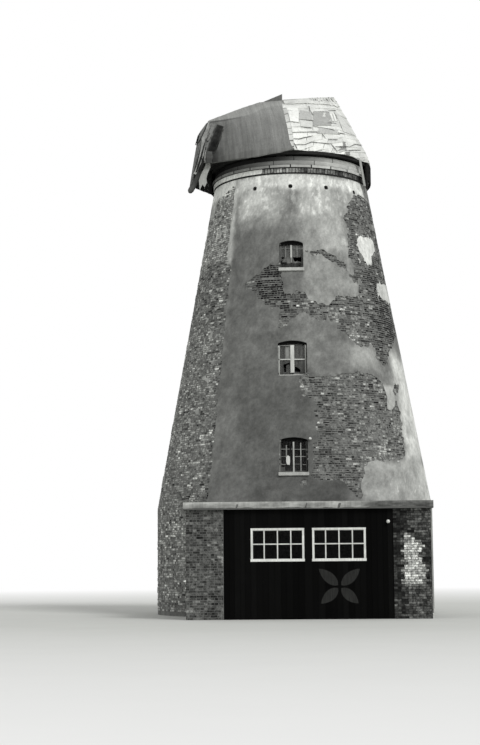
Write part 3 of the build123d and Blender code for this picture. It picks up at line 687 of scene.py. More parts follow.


# how light the render is: azimuth, height, half spans, grey, soft edge in metres
# partly the render's own greys and partly painted light: the pale zones from azimuth 53 to 78 are lighter
# where light falls from the right
renderTones = (
    (-22, 10.6, 21, 3.5, 117, 0.8),
    (-6, 7.0, 18, 1.6, 103, 0.9),
    (-3, 9.6, 4, 0.7, 112, 0.5),
    (23, 12.3, 17, 2.0, 158, 0.8),
    (22, 12.0, 14, 0.9, 148, 0.6),
    (25, 9.4, 17, 0.9, 124, 0.6),
    (38, 8.95, 8, 0.4, 158, 0.4),
    (-38, 10.5, 1.6, 2.0, 130, 0.3),
    (27, 13.5, 9, 0.5, 188, 0.4),
    (5, 5.0, 16, 1.1, 100, 0.6),
    (-12, 5.0, 10, 1.2, 108, 0.6),
    (14, 4.15, 7, 0.36, 92, 0.45),
    (0.3, 11.7, 6, 0.5, 122, 0.3),
    (-22, 14.0, 15, 0.3, 138, 0.7),
    (-23, 14.95, 15.5, 0.8, 204, 1.0),
    (-5, 14.95, 6, 0.8, 172, 0.6),
    (2, 14.4, 8, 0.5, 140, 0.7),
    (18, 14.8, 12, 0.7, 190, 0.6),
    (38, 14.9, 12, 0.6, 172, 0.7),
    (5, 15.5, 60, 0.28, 222, 0.3),
    (-42, 14.2, 3, 1.7, 196, 0.3),
    (56, 13.1, 12, 0.6, 226, 0.2),
    (74, 11.6, 16, 0.4, 206, 0.2),
    (75, 7.4, 17, 1.9, 208, 0.7),
    (53, 7.6, 5, 0.5, 182, 0.3),
    (52, 4.4, 25, 0.95, 168, 0.3),
    (78, 4.4, 12, 1.1, 196, 0.6),
    (78, 2.0, 50, 1.8, 150, 0.8),
    (112, 9.0, 18, 6.0, 176, 1.5),
    (150, 8.0, 20, 6.0, 140, 1.6),
    (205, 8.0, 34, 6.0, 120, 1.6),
    (160, 15.2, 72, 0.7, 208, 0.6),
    (128, 6.5, 10, 2.0, 214, 1.0),
    (212, 12.6, 10, 0.9, 168, 0.8),
    (170, 4.9, 12, 0.8, 176, 0.6),
    (-60, 12, 17, 6, 168, 0.4),
    (-68, 15.6, 25, 0.4, 242, 0.3),
)
renderGrey = {
    "base": 126.0,
    "wander": 0.9,  # how far the noise shifts the edges of the tones above
    "whites": 34,
    "streaks": 46,
    "repair": (51, 9, 4.5, 0.25),  # azimuth and height with half spans, streaked white
}


def renderTone(azimuth, z):
    level = np.full(np.shape(azimuth), renderGrey["base"])
    wobbleX = swing(azimuth * 0.11, z * 1.7, renderGrey["wander"], 3)
    wobbleZ = swing(azimuth * 0.11 + 30, z * 1.7, renderGrey["wander"], 3)
    for middle, height, halfAzimuth, halfHeight, target, edge in renderTones:
        across = (np.abs(azimuth - middle) - halfAzimuth) * tower["metresPerDegree"] + wobbleX * edge
        up = np.abs(z - height) - halfHeight + wobbleZ * edge
        weight = 1 - soften(np.maximum(across, up), -edge / 2, edge / 2)
        level = level + (target - level) * weight
    mottle = swing(azimuth * 0.22, z * 3.1, 0.36, 5) + swing(azimuth * 0.9, z * 12, 0.26)
    high = soften(z, 13.9, 14.3)
    whites = soften(cloud(azimuth * 0.4 + 5, z * 5.6, 4), 0.56, 0.7) * renderGrey["whites"] * high
    level = level * (1 + mottle) + whites
    streaks = soften(cloud(azimuth * 0.5 + 3, z * 3, 4), 0.6, 0.72) * renderGrey["streaks"]
    middle, half, height, tall = renderGrey["repair"]
    inRepair = (np.abs(azimuth - middle) < half) & (np.abs(z - height) < tall)
    return grey(level + np.where(inRepair, streaks, 0))


# the coat's grid: spans as first and last azimuth and step
coat = {
    "stepHeight": 0.06,
    "front": (-92, 95, 0.55),
    "rear": (95, 233.4, 1.1),
    "hollow": 0.0006,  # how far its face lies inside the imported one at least
    "relief": 0.005,
    "grip": 0.004,  # how far its edge reaches into the wall
}


def insideBox(points):
    # the left side is bare brick, and its bricks are kept inside the imported model's bounds
    return np.clip(points, *cadBox)


def coatFront(azimuth, z):
    relief = coat["hollow"] + coat["relief"] * cloud(azimuth * 0.5, z * 7, 4)
    return insideBox(towerPoint(azimuth, z, towerRadius(z) - relief))


def coatBack(azimuth, z):
    return towerPoint(azimuth, z, towerRadius(z) - tower["coat"] - coat["grip"])


def makeCoat():
    rows = np.arange(tower["foot"] - 0.03, tower["top"] + 0.06, coat["stepHeight"])
    made = []
    for name in ("front", "rear"):
        heap = Heap()
        start, end, step = coat[name]
        columns = np.linspace(start, end, int(round((end - start) / step)) + 1)
        carve(heap, columns, rows, coatLevel, coatFront, coatBack, renderTone, edgeShade=0.55)
        made.append(heap.build("render_" + name, "tower", "cement_render", finishes["render"]))
        print("render", name, len(heap.faces), "faces")
    for piece in made:
        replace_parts(piece, "render_coat")


# laid bricks: header and stretcher courses turn about
brick = {
    "firstAzimuth": -128,
    "course": 0.079,
    "joint": 0.012,
    "stretcher": 0.227,
    "header": 0.1165,
    "wear": 0.004,
    "depth": 0.012,
    "jitter": 0.0016,
    "gaps": (0.008, 0.016),
    "proud": (0.001, 0.009),
    "lost": 0.04,  # share of the bricks that have crumbled back
    "sunk": -0.008,
    "greySpread": 20,
    "pale": (0.09, 56),  # share, and how much lighter
    "burnt": (0.12, 42),  # share, and how much darker
}
brickGrey = {
    "base": 98.0,
    "left": 40,
    "upperLeft": 34,
    "limewashed": (70, 50),
    "leftShadowBand": 20,
    "lowRight": 16,
    "highRight": 14,
    "clouds": 74,
    "lime": 46,
}
# darker brickwork: azimuth, height, half spans, how much darker
darkBricks = (
    (57, 12.0, 12, 0.95, 46),
    (61, 10.5, 18, 0.95, 62),
    (53, 9.25, 7, 0.5, 34),
    (47, 14.0, 6, 0.6, 18),
    (-12, 11.65, 9, 0.85, 82),
    (-3, 10.9, 8, 0.6, 40),
    (30, 12.7, 14, 0.5, 26),
)


def brickTone(azimuth, z):
    left = soften(-azimuth, 36, 40)
    level = np.full(np.shape(azimuth), brickGrey["base"]) + left * brickGrey["left"]
    limed, further = brickGrey["limewashed"]
    band = (limed + further * soften(-azimuth, 44, 52)) * soften(z, 15.0, 15.4)
    level = level + left * (brickGrey["upperLeft"] * soften(z, 12.4, 13) + band)
    # a painted shadow across the bare left side around 11.5 m
    level = level - brickGrey["leftShadowBand"] * left * (1 - soften(np.abs(z - 11.5), 0.9, 1.4))
    level = level + brickGrey["lowRight"] * soften(azimuth, 22, 34) * (1 - soften(z, 6.6, 7.6))
    for middle, height, wide, tall, darker in darkBricks:
        away = np.hypot((azimuth - middle) / wide, (z - height) / tall)
        away = away + swing(azimuth * 0.3, z * 3, 0.7, 3)
        level = level - darker * (1 - soften(away, 0.6, 1.15))
    level = level - brickGrey["highRight"] * soften(azimuth, 56, 66) * soften(z, 8, 9)
    level = level + swing(azimuth * 0.25 + 90, z * 3.6, brickGrey["clouds"], 5)
    lime = soften(cloud(azimuth * 0.33 + 20, z * 4.7, 4), 0.6, 0.72)
    return level + brickGrey["lime"] * lime


def brickGrid(azimuths, zs, wide, tall, radius, proud):
    # curved brick faces with worn edges, eight corners each
    wear = brick["wear"]
    across = np.array([-1, 1, 1, -1])
    upward = np.array([-1, -1, 1, 1])
    frontX = across * (wide[:, None] / 2 - wear)
    frontZ = upward * (tall / 2 - wear)
    backX = across * wide[:, None] / 2
    backZ = upward * tall / 2
    jitter = chance.uniform(-brick["jitter"], brick["jitter"], (len(azimuths), 4))
    faceRadius = radius[:, None] + proud[:, None] + jitter
    backRadius = radius[:, None] - brick["depth"] + 0 * jitter
    corners = np.empty((len(azimuths), 8, 3))
    for offset, x, z, r in ((0, frontX, frontZ, faceRadius), (4, backX, backZ, backRadius)):
        angle = np.radians(azimuths)[:, None] + x / radius[:, None]
        corners[:, offset:offset + 4, 0] = r * np.sin(angle)
        corners[:, offset:offset + 4, 1] = -r * np.cos(angle)
        corners[:, offset:offset + 4, 2] = zs[:, None] + z
    return corners


def layTower(name, start, end):
    heap = Heap()
    course = brick["course"]
    for k in range(int((tower["top"] - tower["foot"]) / course)):
        z = tower["foot"] + (k + 0.5) * course
        radius = towerRadius(np.array(z)) - tower["coat"]
        pitch = brick["stretcher"] if k % 2 else brick["header"]
        count = round(2 * math.pi * float(radius) / pitch)
        azimuths = (np.arange(count) + 0.5 * (k % 4 == 1)) * 360 / count + brick["firstAzimuth"]
        azimuths = azimuths[(azimuths >= start) & (azimuths < end)]
        zs = np.full(len(azimuths), z)
        shown = (coatLevel(azimuths, zs) < 0.1) & (openingDistance(azimuths, zs) > 0.02)
        azimuths, zs = azimuths[shown], zs[shown]
        if not len(azimuths):
            continue
        many = len(azimuths)
        wide = 2 * math.pi * float(radius) / count - chance.uniform(*brick["gaps"], many)
        proud = chance.uniform(*brick["proud"], many)
        proud = np.where(chance.random(many) < brick["lost"], brick["sunk"], proud)
        lot = chance.random(many)
        (paleShare, lighter), (burntShare, darker) = brick["pale"], brick["burnt"]
        flecks = lighter * (lot < paleShare) - darker * (lot > 1 - burntShare)
        tones = grey(brickTone(azimuths, zs) + chance.normal(0, brick["greySpread"], many) + flecks)
        corners = insideBox(brickGrid(azimuths, zs, wide, course - brick["joint"], zs * 0 + radius, proud))
        heap.addCopies(corners, openBox, tones)
    print(name, len(heap.faces), "faces")
    return heap.build(name, "tower", "rendered_brick", finishes["brick"])


def bentBoard(heap, place, start, end, low, high, radius, thick, tone, cuts=3):
    # one plank bent round the mill: place turns (angle in degrees, height, radius) into a point
    angles = np.linspace(start, end, cuts)
    ring = [place(angles, z + 0 * angles, r + 0 * angles)
            for r in (radius + thick, radius) for z in (low, high)]
    n = cuts
    faces = []
    for i in range(n - 1):
        faces += [(i, i + 1, n + i + 1, n + i), (2 * n + i + 1, 2 * n + i, 3 * n + i, 3 * n + i + 1),
                  (2 * n + i, 2 * n + i + 1, i + 1, i), (n + i, n + i + 1, 3 * n + i + 1, 3 * n + i)]
    faces += [(0, n, 3 * n, 2 * n), (n - 1, 3 * n - 1, 4 * n - 1, 2 * n - 1)]
    heap.add(np.concatenate(ring), faces, tone)


# the courses that carry the cap; greys are (azimuth, grey) pairs, read round the tower
curb = {
    "rowlock": {
        "low": 15.79, "high": 15.968, "radius": 2.901, "pitch": 0.112, "joint": 0.015,
        "shift": 0.004, "proud": (0.003, 0.01), "greySpread": 26,
        "greys": (
            # the dip to 40 near azimuth 57 is a painted shadow beside the slanting skirt board
            (-128, 120), (-22, 120), (-18, 150), (20, 128), (34, 100), (50, 94), (57, 40), (130, 90),
            (180, 110)),
    },
    "fill": {"start": -112, "end": -20.5, "level": 232, "step": 0.5, "proud": 0.012},
    "ledge": {
        "low": 15.972, "high": 16.078, "radius": 2.941, "firstJoint": 0.6, "step": 14.9, "gap": 0.9,
        "greySpread": 8, "dip": 0.012, "thick": 0.008, "marks": 7,
        "greys": ((-180, 120), (-60, 132), (-24, 132), (0, 178), (50, 205), (120, 150), (180, 120)),
    },
    "felloes": {
        "low": 16.105, "high": 16.398, "radius": 2.85, "count": 12, "gap": 0.5,
        "greySpread": 6, "first": 18, "split": 0.14, "thick": 0.018, "upperThick": 0.012, "marks": 9,
        # painted shade from the eave: both rows darker to the left and the upper row most, and painted light,
        # lighter to the right
        "greys": (
            (-180, 80), (-90, 44), (-50, 66), (-30, 100), (-18, 126), (0, 150), (35, 205), (70, 200),
            (120, 150), (180, 110)),
        "upperShadowGreys": (
            (-180, 40), (-90, 18), (-40, 22), (-20, 36), (-8, 66), (4, 104), (22, 150), (38, 180),
            (70, 180), (120, 120), (180, 60)),
    },
}


def greyAt(azimuth, pairs):
    return np.interp((azimuth + 180) % 360 - 180, *zip(*pairs))


def layRowlock():
    part, fill = curb["rowlock"], curb["fill"]
    count = round(2 * math.pi * part["radius"] / part["pitch"])
    azimuths = np.arange(count) * 360 / count + brick["firstAzimuth"]
    filled = (azimuths > fill["start"]) & (azimuths < fill["end"])
    azimuths = azimuths[~filled]
    many, tall = len(azimuths), part["high"] - part["low"]
    levels = greyAt(azimuths, part["greys"]) + chance.normal(0, part["greySpread"], many)
    middle = (part["low"] + part["high"]) / 2 + chance.uniform(-part["shift"], part["shift"], many)
    corners = brickGrid(azimuths, middle, np.full(many, part["pitch"] - part["joint"]),
                        tall - brick["joint"], azimuths * 0 + part["radius"],
                        chance.uniform(*part["proud"], many))
    heap = Heap()
    heap.addCopies(corners, openBox, grey(levels))
    heap.build("rowlock_bricks", "tower", "rowlock_brick", finishes["brick"])


def fillRowlock():
    # a ragged band of render over part of the rowlock course
    part, fill = curb["rowlock"], curb["fill"]
    heap = Heap()

    def keep(azimuth, z):
        ragged = swing(azimuth * 0.5 + 12, z * 9, 0.09)
        edge = np.minimum(azimuth - fill["start"], fill["end"] - azimuth) * 0.05 + ragged
        foot = z - part["low"] - 0.012 + ragged * 0.1
        return least(edge, foot, part["high"] - z - 0.002)

    def front(azimuth, z):
        radius = part["radius"] + fill["proud"] - 0.006 * cloud(azimuth * 0.6, z * 8, 4)
        return towerPoint(azimuth, z, radius)

    carve(heap, np.arange(fill["start"] - fill["step"], fill["end"] + fill["step"] + 0.1, fill["step"]),
          np.linspace(part["low"] - 0.01, part["high"] + 0.01, 14), keep, front,
          lambda a, z: towerPoint(a, z, part["radius"] - 0.004 + 0 * a),
          lambda a, z: grey(fill["level"] + swing(a * 0.8, z * 11, 90)))
    heap.build("rowlock_fill", "tower", "rowlock_brick", finishes["render"])


def layLedge():
    heap = Heap()
    part = curb["ledge"]
    start = part["firstJoint"] - 180 + 1.2
    while start < part["firstJoint"] + 179:
        end = start + part["step"]
        marks = np.linspace(start, end - part["gap"], part["marks"])
        level = np.tile(greyAt(marks, part["greys"]), 4) + chance.normal(0, part["greySpread"])
        dip = chance.uniform(0, part["dip"])
        bentBoard(heap, towerPoint, start, end - part["gap"], part["low"] + 0.006 + dip / 2,
                  part["high"] - dip, part["radius"] - 0.002, part["thick"] + chance.uniform(0, 0.006),
                  grey(level), part["marks"])
        start = end
    heap.build("ledge_blocks", "tower", "stone_ledge", finishes["sillPieces"])


def layFelloes():
    # two rings of curved timbers, the upper one with its joints over the lower one's middles
    heap = Heap()
    part = curb["felloes"]
    step = 360 / part["count"]
    split = part["low"] + part["split"]
    for i in range(part["count"]):
        for low, high, deep, greys, shift in (
                (part["low"], split, part["thick"], part["greys"], 0),
                (split + 0.003, part["high"], part["upperThick"], part["upperShadowGreys"], step / 2)):
            start = i * step + part["first"] - 180 + shift
            end = start + step - part["gap"]
            level = np.tile(greyAt(np.linspace(start, end, part["marks"]), greys), 4)
            level = level + chance.normal(0, part["greySpread"])
            bentBoard(heap, towerPoint, start, end, low, high, part["radius"] - 0.002, deep, grey(level),
                      part["marks"])
    heap.build("curb_felloes", "tower", "curb_timber", finishes["curbPieces"])


def makeCurb():
    layRowlock()
    fillRowlock()
    layLedge()
    layFelloes()
    print("curb laid")


def facing(azimuth, x, out, z):
    # x to the right and out from the tower's axis, looking at the side that faces this azimuth
    a = math.radians(azimuth)
    x, out, z = np.broadcast_arrays(np.asarray(x, float), np.asarray(out, float), np.asarray(z, float))
    return np.stack([x * math.cos(a) + out * math.sin(a), x * math.sin(a) - out * math.cos(a), z], -1)


def plate(heap, azimuth, outline, out, thick, level):
    # a flat piece from its outline in x and z, counter-clockwise seen from outside
    points = np.array(outline, float)
    front = facing(azimuth, points[:, 0], out, points[:, 1])
    back = facing(azimuth, points[:, 0], out - thick, points[:, 1])
    prism(heap, front, back, grey(level))


def slab(heap, azimuth, x0, x1, z0, z1, out, thick, level):
    plate(heap, azimuth, ((x0, z0), (x1, z0), (x1, z1), (x0, z1)), out, thick, level)


# windows: x from the middle of the opening and z from its sill, in metres
# bars are (x0, x1, z0, z1, grey, how far they stand before the frame's face)
windows = {
    "top": {
        "headShadowBand": 0.15,
        "bars": (
            (-0.032, 0.032, 0.42, 0.9, 205, 0.002), (-0.225, -0.18, 0.42, 0.82, 128, -0.012),
            (-0.365, -0.34, 0.42, 0.82, 104, -0.012), (0.19, 0.225, 0.42, 0.84, 140, -0.012),
            (0.06, 0.36, 0.715, 0.74, 128, -0.014), (-0.4, -0.03, 0.735, 0.755, 118, -0.014),
            (0.04, 0.4, 0.43, 0.455, 96, -0.01), (-0.42, -0.16, 0.215, 0.25, 34, 0.004),
            (-0.02, 0.02, 0.24, 0.43, 150, -0.004),
        ),
        "holes": (
            ((-0.375, 0.44), (-0.24, 0.44), (-0.27, 0.37), (-0.31, 0.35), (-0.345, 0.39)),
            ((-0.19, 0.44), (-0.135, 0.44), (-0.165, 0.4)),
            ((0.045, 0.44), (0.37, 0.44), (0.36, 0.27), (0.24, 0.275), (0.2, 0.3), (0.15, 0.26), (0.1, 0.29),
             (0.07, 0.37)),
            ((-0.36, 0.33), (-0.29, 0.34), (-0.33, 0.24), (-0.39, 0.26)),
        ),
        "greys": ((0, 62), (0.2, 70), (0.24, 128), (0.42, 118), (0.44, 104), (0.9, 96), (1.1, 70)),
    },
    "middle": {
        "headShadowBand": 0.115,
        "bars": (
            (-0.072, 0.062, 0.13, 1.1, 214, 0.006), (-0.49, 0.435, 0.577, 0.615, 216, 0.004),
            (-0.505, -0.455, 0.02, 1.03, 176, 0.004), (0.43, 0.475, 0.05, 1.0, 178, 0.004),
            # the strip of grey 26 beside the right jamb is painted shade
            (0.478, 0.503, 0.02, 1.08, 26, 0.006), (-0.45, -0.08, 1.07, 1.09, 150, 0.004),
            (0.05, 0.43, 0.05, 0.085, 190, 0.004), (-0.5, 0.49, -0.012, 0.024, 186, 0.012),
            (-0.415, -0.39, 0.1, 1.0, 104, -0.01), (-0.45, 0.05, 0.03, 0.08, 74, -0.004),
        ),
        "holes": (
            ((-0.33, 0.42), (-0.2, 0.46), (-0.085, 0.475), (-0.085, 0.42), (-0.215, 0.4), (-0.235, 0.1),
             (-0.29, 0.1), (-0.3, 0.3)),
            ((0.075, 0.36), (0.18, 0.31), (0.27, 0.24), (0.28, 0.15), (0.12, 0.11), (0.075, 0.11)),
        ),
        "greys": ((0, 92), (0.5, 98), (0.6, 106), (1.25, 96)),
        "strip": (-0.24, -0.085, 0.62, 1.05, 146),
    },
    "lower": {
        "headShadowBand": 0.1,
        "bars": (
            (-0.026, 0.026, 0.02, 1.06, 196, 0.004), (-0.265, -0.225, 0.5, 0.95, 150, -0.004),
            (0.23, 0.262, 0.03, 1.02, 168, -0.002), (0.445, 0.475, 0.02, 1.05, 108, 0.0),
            (-0.49, -0.46, 0.0, 1.06, 150, 0.004), (-0.45, -0.14, 0.8, 0.822, 150, -0.006),
            (-0.08, -0.03, 0.8, 0.822, 150, -0.006), (0.03, 0.44, 0.79, 0.812, 132, -0.006),
            (-0.45, -0.27, 0.545, 0.565, 120, -0.006), (0.04, 0.44, 0.54, 0.562, 150, -0.006),
            (0.05, 0.21, 0.285, 0.305, 118, -0.006), (0.31, 0.45, 0.262, 0.285, 158, -0.006),
            (-0.45, -0.27, 0.27, 0.3, 132, -0.006), (-0.43, -0.3, 0.04, 0.2, 92, -0.01),
        ),
        "holes": (),
        "greys": ((0, 52), (0.5, 46), (0.9, 38), (1.2, 24)),
        "rag": ((-0.255, 0.53), (-0.26, 0.4), (-0.23, 0.28), (-0.14, 0.27), (-0.125, 0.42), (-0.13, 0.55),
                (-0.2, 0.6)),
    },
}


glazing = {
    "inset": 0.02,  # the panes end this far inside the opening
    "grid": (61, 71),
    "panes": (0.034, 0.038),  # depths of their two faces behind the frame's
    "holeEdge": 0.004,
    "barThick": 0.028,
    "barClear": 0.01,
    "rag": (0.006, 0.012, 236),  # stands out, thickness, grey
    # the painted shadow band under each arch: stands out, thickness, grey
    "head": (0.012, 0.02, 24),
    "headShadowPinch": 0.35,
}


def glazeWindow(panes, bars, headShadows, key, azimuth):
    part, inset = windows[key], glazing["inset"]
    low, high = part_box(("rear_window_" if azimuth else "window_") + key)
    half, sill, crown = (high[0] - low[0]) / 2, low[2], high[2]
    out = high[1] if azimuth else -low[1]
    rise = tower["headRise"]

    def arch(x):
        return crown - rise * (x / half) ** 2

    def keep(x, z):
        level = least(half - inset - np.abs(x), arch(x) - inset - z, z - sill - inset)
        for hole in part["holes"]:
            level = np.minimum(level, flatDistance(x, z - sill, hole) + glazing["holeEdge"])
        return level

    def tone(x, z):
        level = np.interp(z - sill, *zip(*part["greys"]))
        level = level + swing(x * 22 + 3, z * 2.2, 0.42) * level
        if "strip" in part:
            x0, x1, z0, z1, shade = part["strip"]
            lit = (x > x0) & (x < x1) & (z - sill > z0) & (z - sill < z1)
            level = np.where(lit, shade, level)
        return grey(level)

    def face(depth):
        return lambda x, z: facing(azimuth, x, out - depth, z)

    columns, rows = glazing["grid"]
    carve(panes, np.linspace(-half, half, columns), np.linspace(sill, crown, rows), keep,
          face(glazing["panes"][0]), face(glazing["panes"][1]), tone, lined=True)
    for x0, x1, z0, z1, level, proud in part["bars"]:
        reach = max(abs(x0), abs(x1)) / half
        z1 = min(z1, crown - sill - rise * reach ** 2 - glazing["barClear"])
        slab(bars, azimuth, x0, x1, sill + z0, sill + z1, out + proud, glazing["barThick"], level)
    if "rag" in part:
        proud, thick, level = glazing["rag"]
        plate(bars, azimuth, [(x, sill + z) for x, z in part["rag"]], out + proud, thick, level)
    # a dark arched band over the frame's head: painted shadow under the brick arch, with the frame's own dark
    # head
    edge = np.linspace(-half, half, 13)
    outline = [(x, arch(x) - part["headShadowBand"] * (1 - glazing["headShadowPinch"] * abs(x / half))) for x in edge]
    outline += [(x, arch(x)) for x in edge[::-1]]
    proud, thick, level = glazing["head"]
    plate(headShadows, azimuth, outline, out + proud, thick, level)


def makeWindows():
    for prefix, azimuth in (("", 0), ("rear_", 180)):
        panes, bars, headShadows = Heap(), Heap(), Heap()
        for key in windows:
            glazeWindow(panes, bars, headShadows, key, azimuth)
        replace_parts(panes.build(prefix + "window_panes", "tower", "window_glass", finishes["glass"]),
                    prefix + "tower_glass")
        bars.build(prefix + "window_bars", "tower", "white_paint", finishes["barPieces"])
        # the head bands are painted shadow, in the tarred boards' finish
        headShadows.build(prefix + "window_heads", "tower", "white_paint", finishes["tarPieces"])
    print("windows glazed")


annex = {
    "board": 0.19,
    "boardGap": 0.008,
    "boardThick": 0.014,
    "boardLevel": 15,
    "boardShades": (-5, 6),
    "boardShift": 0.015,
    "boardUneven": 0.004,
    "windowGap": 0.002,
    "casing": 0.062,
    "bar": 0.038,
    "bottomRail": 0.088,
    "barProud": 0.026,
    "glassDepth": 0.018,
    "glassInset": 0.03,
    "glassGreys": (8, 15),
    "petalLevel": 50,
    "petalProud": 0.008,
    "petalThick": 0.004,
    "petals": ((0.77, 1.62), (2.1, 1.61), (2.04, 0.5), (0.83, 0.5)),  # tips, in x and z
    "petalMiddle": (1.44, 1.04),
    "petalStart": 0.07,
    "petalWidth": 0.34,
}
annexWindows = [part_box("annex_window_left"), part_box("annex_window_right")]
# how far each part of their wood stands out from the head, its thickness and its grey
annexWood = {
    "head": (0, 0.03, 232),
    "sill": (0.006, 0.036, 240),
    "jamb": (0, 0.03, 232),
    "upright": (-0.006, 0.024, 226),
    "cross": (-0.009, 0.024, 222),
}


def makeBoards():
    low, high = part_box("annex_front")
    face = -low[1]
    heap = Heap()
    gap = annex["windowGap"]
    edges = [low[0]]
    for boxLow, boxHigh in annexWindows:
        edges += [boxLow[0] - gap, boxHigh[0] + gap]
    edges.append(high[0])
    # every second stretch runs above and below a window
    for k, (start, end) in enumerate(zip(edges, edges[1:])):
        count = max(1, round((end - start) / annex["board"]))
        marks = np.linspace(start, end, count + 1)
        marks[1:-1] += chance.uniform(-annex["boardShift"], annex["boardShift"], count - 1)
        for x0, x1 in zip(marks, marks[1:]):
            level = annex["boardLevel"] + chance.uniform(*annex["boardShades"])
            out = face + annex["boardThick"] + chance.uniform(-annex["boardUneven"], annex["boardUneven"])
            spans = [(low[2] + chance.uniform(0.005, 0.03), high[2] - 0.003)]
            if k % 2:
                boxLow, boxHigh = annexWindows[k // 2]
                spans = [(spans[0][0], boxLow[2] - gap), (boxHigh[2] + gap, spans[0][1])]
            for z0, z1 in spans:
                slab(heap, 0, x0 + annex["boardGap"] / 2, x1 - annex["boardGap"] / 2, z0, z1, out,
                     annex["boardThick"] + 0.004, level)
    heap.build("annex_boards", "tower", "black_boards", finishes["tarPieces"])
    paintPetals(face + annex["boardThick"] + annex["petalProud"])
    print("annex boarded")


def paintPetals(out):
    heap = Heap()
    middle = np.array(annex["petalMiddle"])
    for tip in annex["petals"]:
        reach = np.array(tip) - middle
        along = reach / np.hypot(*reach)
        across = np.array([-along[1], along[0]])
        base = middle + along * annex["petalStart"]
        share = np.linspace(0, 1, 15)
        swell = annex["petalWidth"] / 2 * np.sin(math.pi * share ** 0.85) ** 0.8
        spine = base + (np.array(tip) - base) * share[:, None]
        left = spine + across * swell[:, None]
        right = spine - across * swell[:, None]
        plate(heap, 0, np.concatenate([right, left[-2:0:-1]]), out, annex["petalThick"], annex["petalLevel"])
    heap.build("painted_petals", "tower", "black_boards", finishes["petalPaint"])


def makeAnnexWindows():
    bars, panes = Heap(), Heap()
    casing, bar, rail, inset = (annex[key] for key in ("casing", "bar", "bottomRail", "glassInset"))
    for low, high in annexWindows:
        out = -low[1] + annex["barProud"]
        x0, x1, z0, z1 = low[0], high[0], low[2], high[2]
        under = z1 - casing + 0.01

        def lay(part, left, right, bottom, top):
            proud, thick, level = annexWood[part]
            slab(bars, 0, left, right, bottom, top, out + proud, thick, level)

        lay("head", x0 - 0.005, x1 + 0.005, z1 - casing + 0.012, z1 + 0.012)
        lay("sill", x0 - 0.012, x1 + 0.012, z0 - 0.018, z0 + rail - 0.018)
        for x in (x0, x1 - casing):
            lay("jamb", x, x + casing, z0 + rail - 0.016, under)
        for k in (1, 2, 3):
            x = x0 + (x1 - x0) * k / 4
            lay("upright", x - bar / 2, x + bar / 2, z0 + 0.07, under)
        z = (z0 + z1) / 2 + 0.02
        lay("cross", x0 + casing, x1 - casing, z - bar / 2, z + bar / 2)
        wide, tall = x1 - x0 - 2 * inset, z1 - z0 - 2 * inset
        for i in range(4):
            for j in range(2):
                slab(panes, 0, x0 + inset + wide * i / 4, x0 + inset + wide * (i + 1) / 4,
                     z0 + inset + tall * j / 2, z0 + inset + tall * (j + 1) / 2,
                     -low[1] - annex["glassDepth"] + chance.uniform(-0.002, 0.002), 0.004,
                     chance.uniform(*annex["glassGreys"]))
    bars.build("annex_bars", "tower", "white_paint", finishes["barPieces"])
    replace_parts(panes.build("annex_panes", "tower", "window_glass", finishes["glass"]), "annex_glass")
    print("annex windows made")


flatBricks = {
    "gaps": (0.008, 0.015),
    "proud": (-0.004, 0.003),
    "greySpread": 17,
    "shortest": 0.03,
    "depth": 0.007,
}


def layFlat(heap, box, azimuth, shade):
    # bricks on one side of a packed box, but not where the round wall covers it
    low, high = box
    sides = {0: (-low[1], low[0], high[0]), 90: (high[0], low[1], high[1]), 270: (-low[0], -high[1], -low[1])}
    out, x0, x1 = sides[azimuth]
    course = brick["course"]
    for k in range(int((high[2] - low[2]) / course)):
        z = low[2] + (k + 0.5) * course
        pitch = brick["stretcher"] if k % 2 else brick["header"]
        for start in np.arange(x0 - pitch * (0.5 if k % 4 == 1 else 0), x1 + pitch, pitch):
            left = max(start, x0)
            right = min(start + pitch, x1) - chance.uniform(*flatBricks["gaps"])
            middle = (left + right) / 2
            if right - left < flatBricks["shortest"] or math.hypot(middle, out) < tower["footRadius"] + 0.02:
                continue
            level = shade(middle, z) + chance.normal(0, flatBricks["greySpread"])
            centre = facing(azimuth, middle, out + chance.uniform(*flatBricks["proud"]), z)
            rightward = facing(azimuth, (right - left) / 2, 0, 0)
            inward = facing(azimuth, 0, -flatBricks["depth"], 0)
            upward = np.array([0, 0, (course - brick["joint"]) / 2])
            heap.add(blockCorners(centre, rightward, upward, inward), openBox, grey(level))


pierGrey = {"base": 52, "clouds": 60, "foot": 38, "top": 34, "wash": 212}


def pierShade(x, z):
    # brick that is darker near the annex's boards than at its right foot and top, with a patch of old
    # limewash
    x = np.asarray(x)
    right = 3.66 + 0.56 * soften(2.85 - z, 0, 0.6)
    wash = soften(x, 3.42, 3.6) * (1 - soften(x, right - 0.1, right + 0.06)) * soften(z, 1.0, 1.2)
    wash = wash * (1 - soften(z, 2.6, 2.9))
    wash = wash * soften(cloud(x * 5 + 3, z * 4, 4), 0.22, 0.4)
    level = pierGrey["base"] + swing(x * 6 + 30, z * 5, pierGrey["clouds"])
    level = level + pierGrey["foot"] * soften(x, 3.5, 3.8) * (1 - soften(z, 0.9, 1.2))
    level = level + pierGrey["top"] * soften(x, 3.6, 3.9) * soften(z, 2.5, 2.9)
    return level + (pierGrey["wash"] - level) * wash


def plainShade(x, z):
    return 88 + swing(x * 3 + 11, z * 3, 70)


def makePiers():
    heap = Heap()
    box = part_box("annex_pier_right")
    layFlat(heap, box, 0, pierShade)
    layFlat(heap, box, 90, plainShade)
    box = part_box("annex_pier_left")
    layFlat(heap, box, 0, plainShade)
    layFlat(heap, box, 270, plainShade)
    for side, azimuth in (("right", 90), ("left", 270)):
        layFlat(heap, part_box("annex_wall_" + side), azimuth, plainShade)
    heap.build("annex_bricks", "tower", "annex_brick", finishes["brick"])
    print("annex bricks", len(heap.faces), "faces")


roofFelt = {"strip": 0.96, "level": 92, "lap": 0.97, "lapDarker": 22, "clear": 0.012}
fascia = {
    "level": 152,
    "topLighter": 26,
    "rightDarker": 62,
    "tears": ((0.35, 0.03, 0.12), (1.43, 0.05, 0.1), (-1.9, 0.04, 0.09), (3.6, 0.03, 0.1)),  # x, half, tall
}


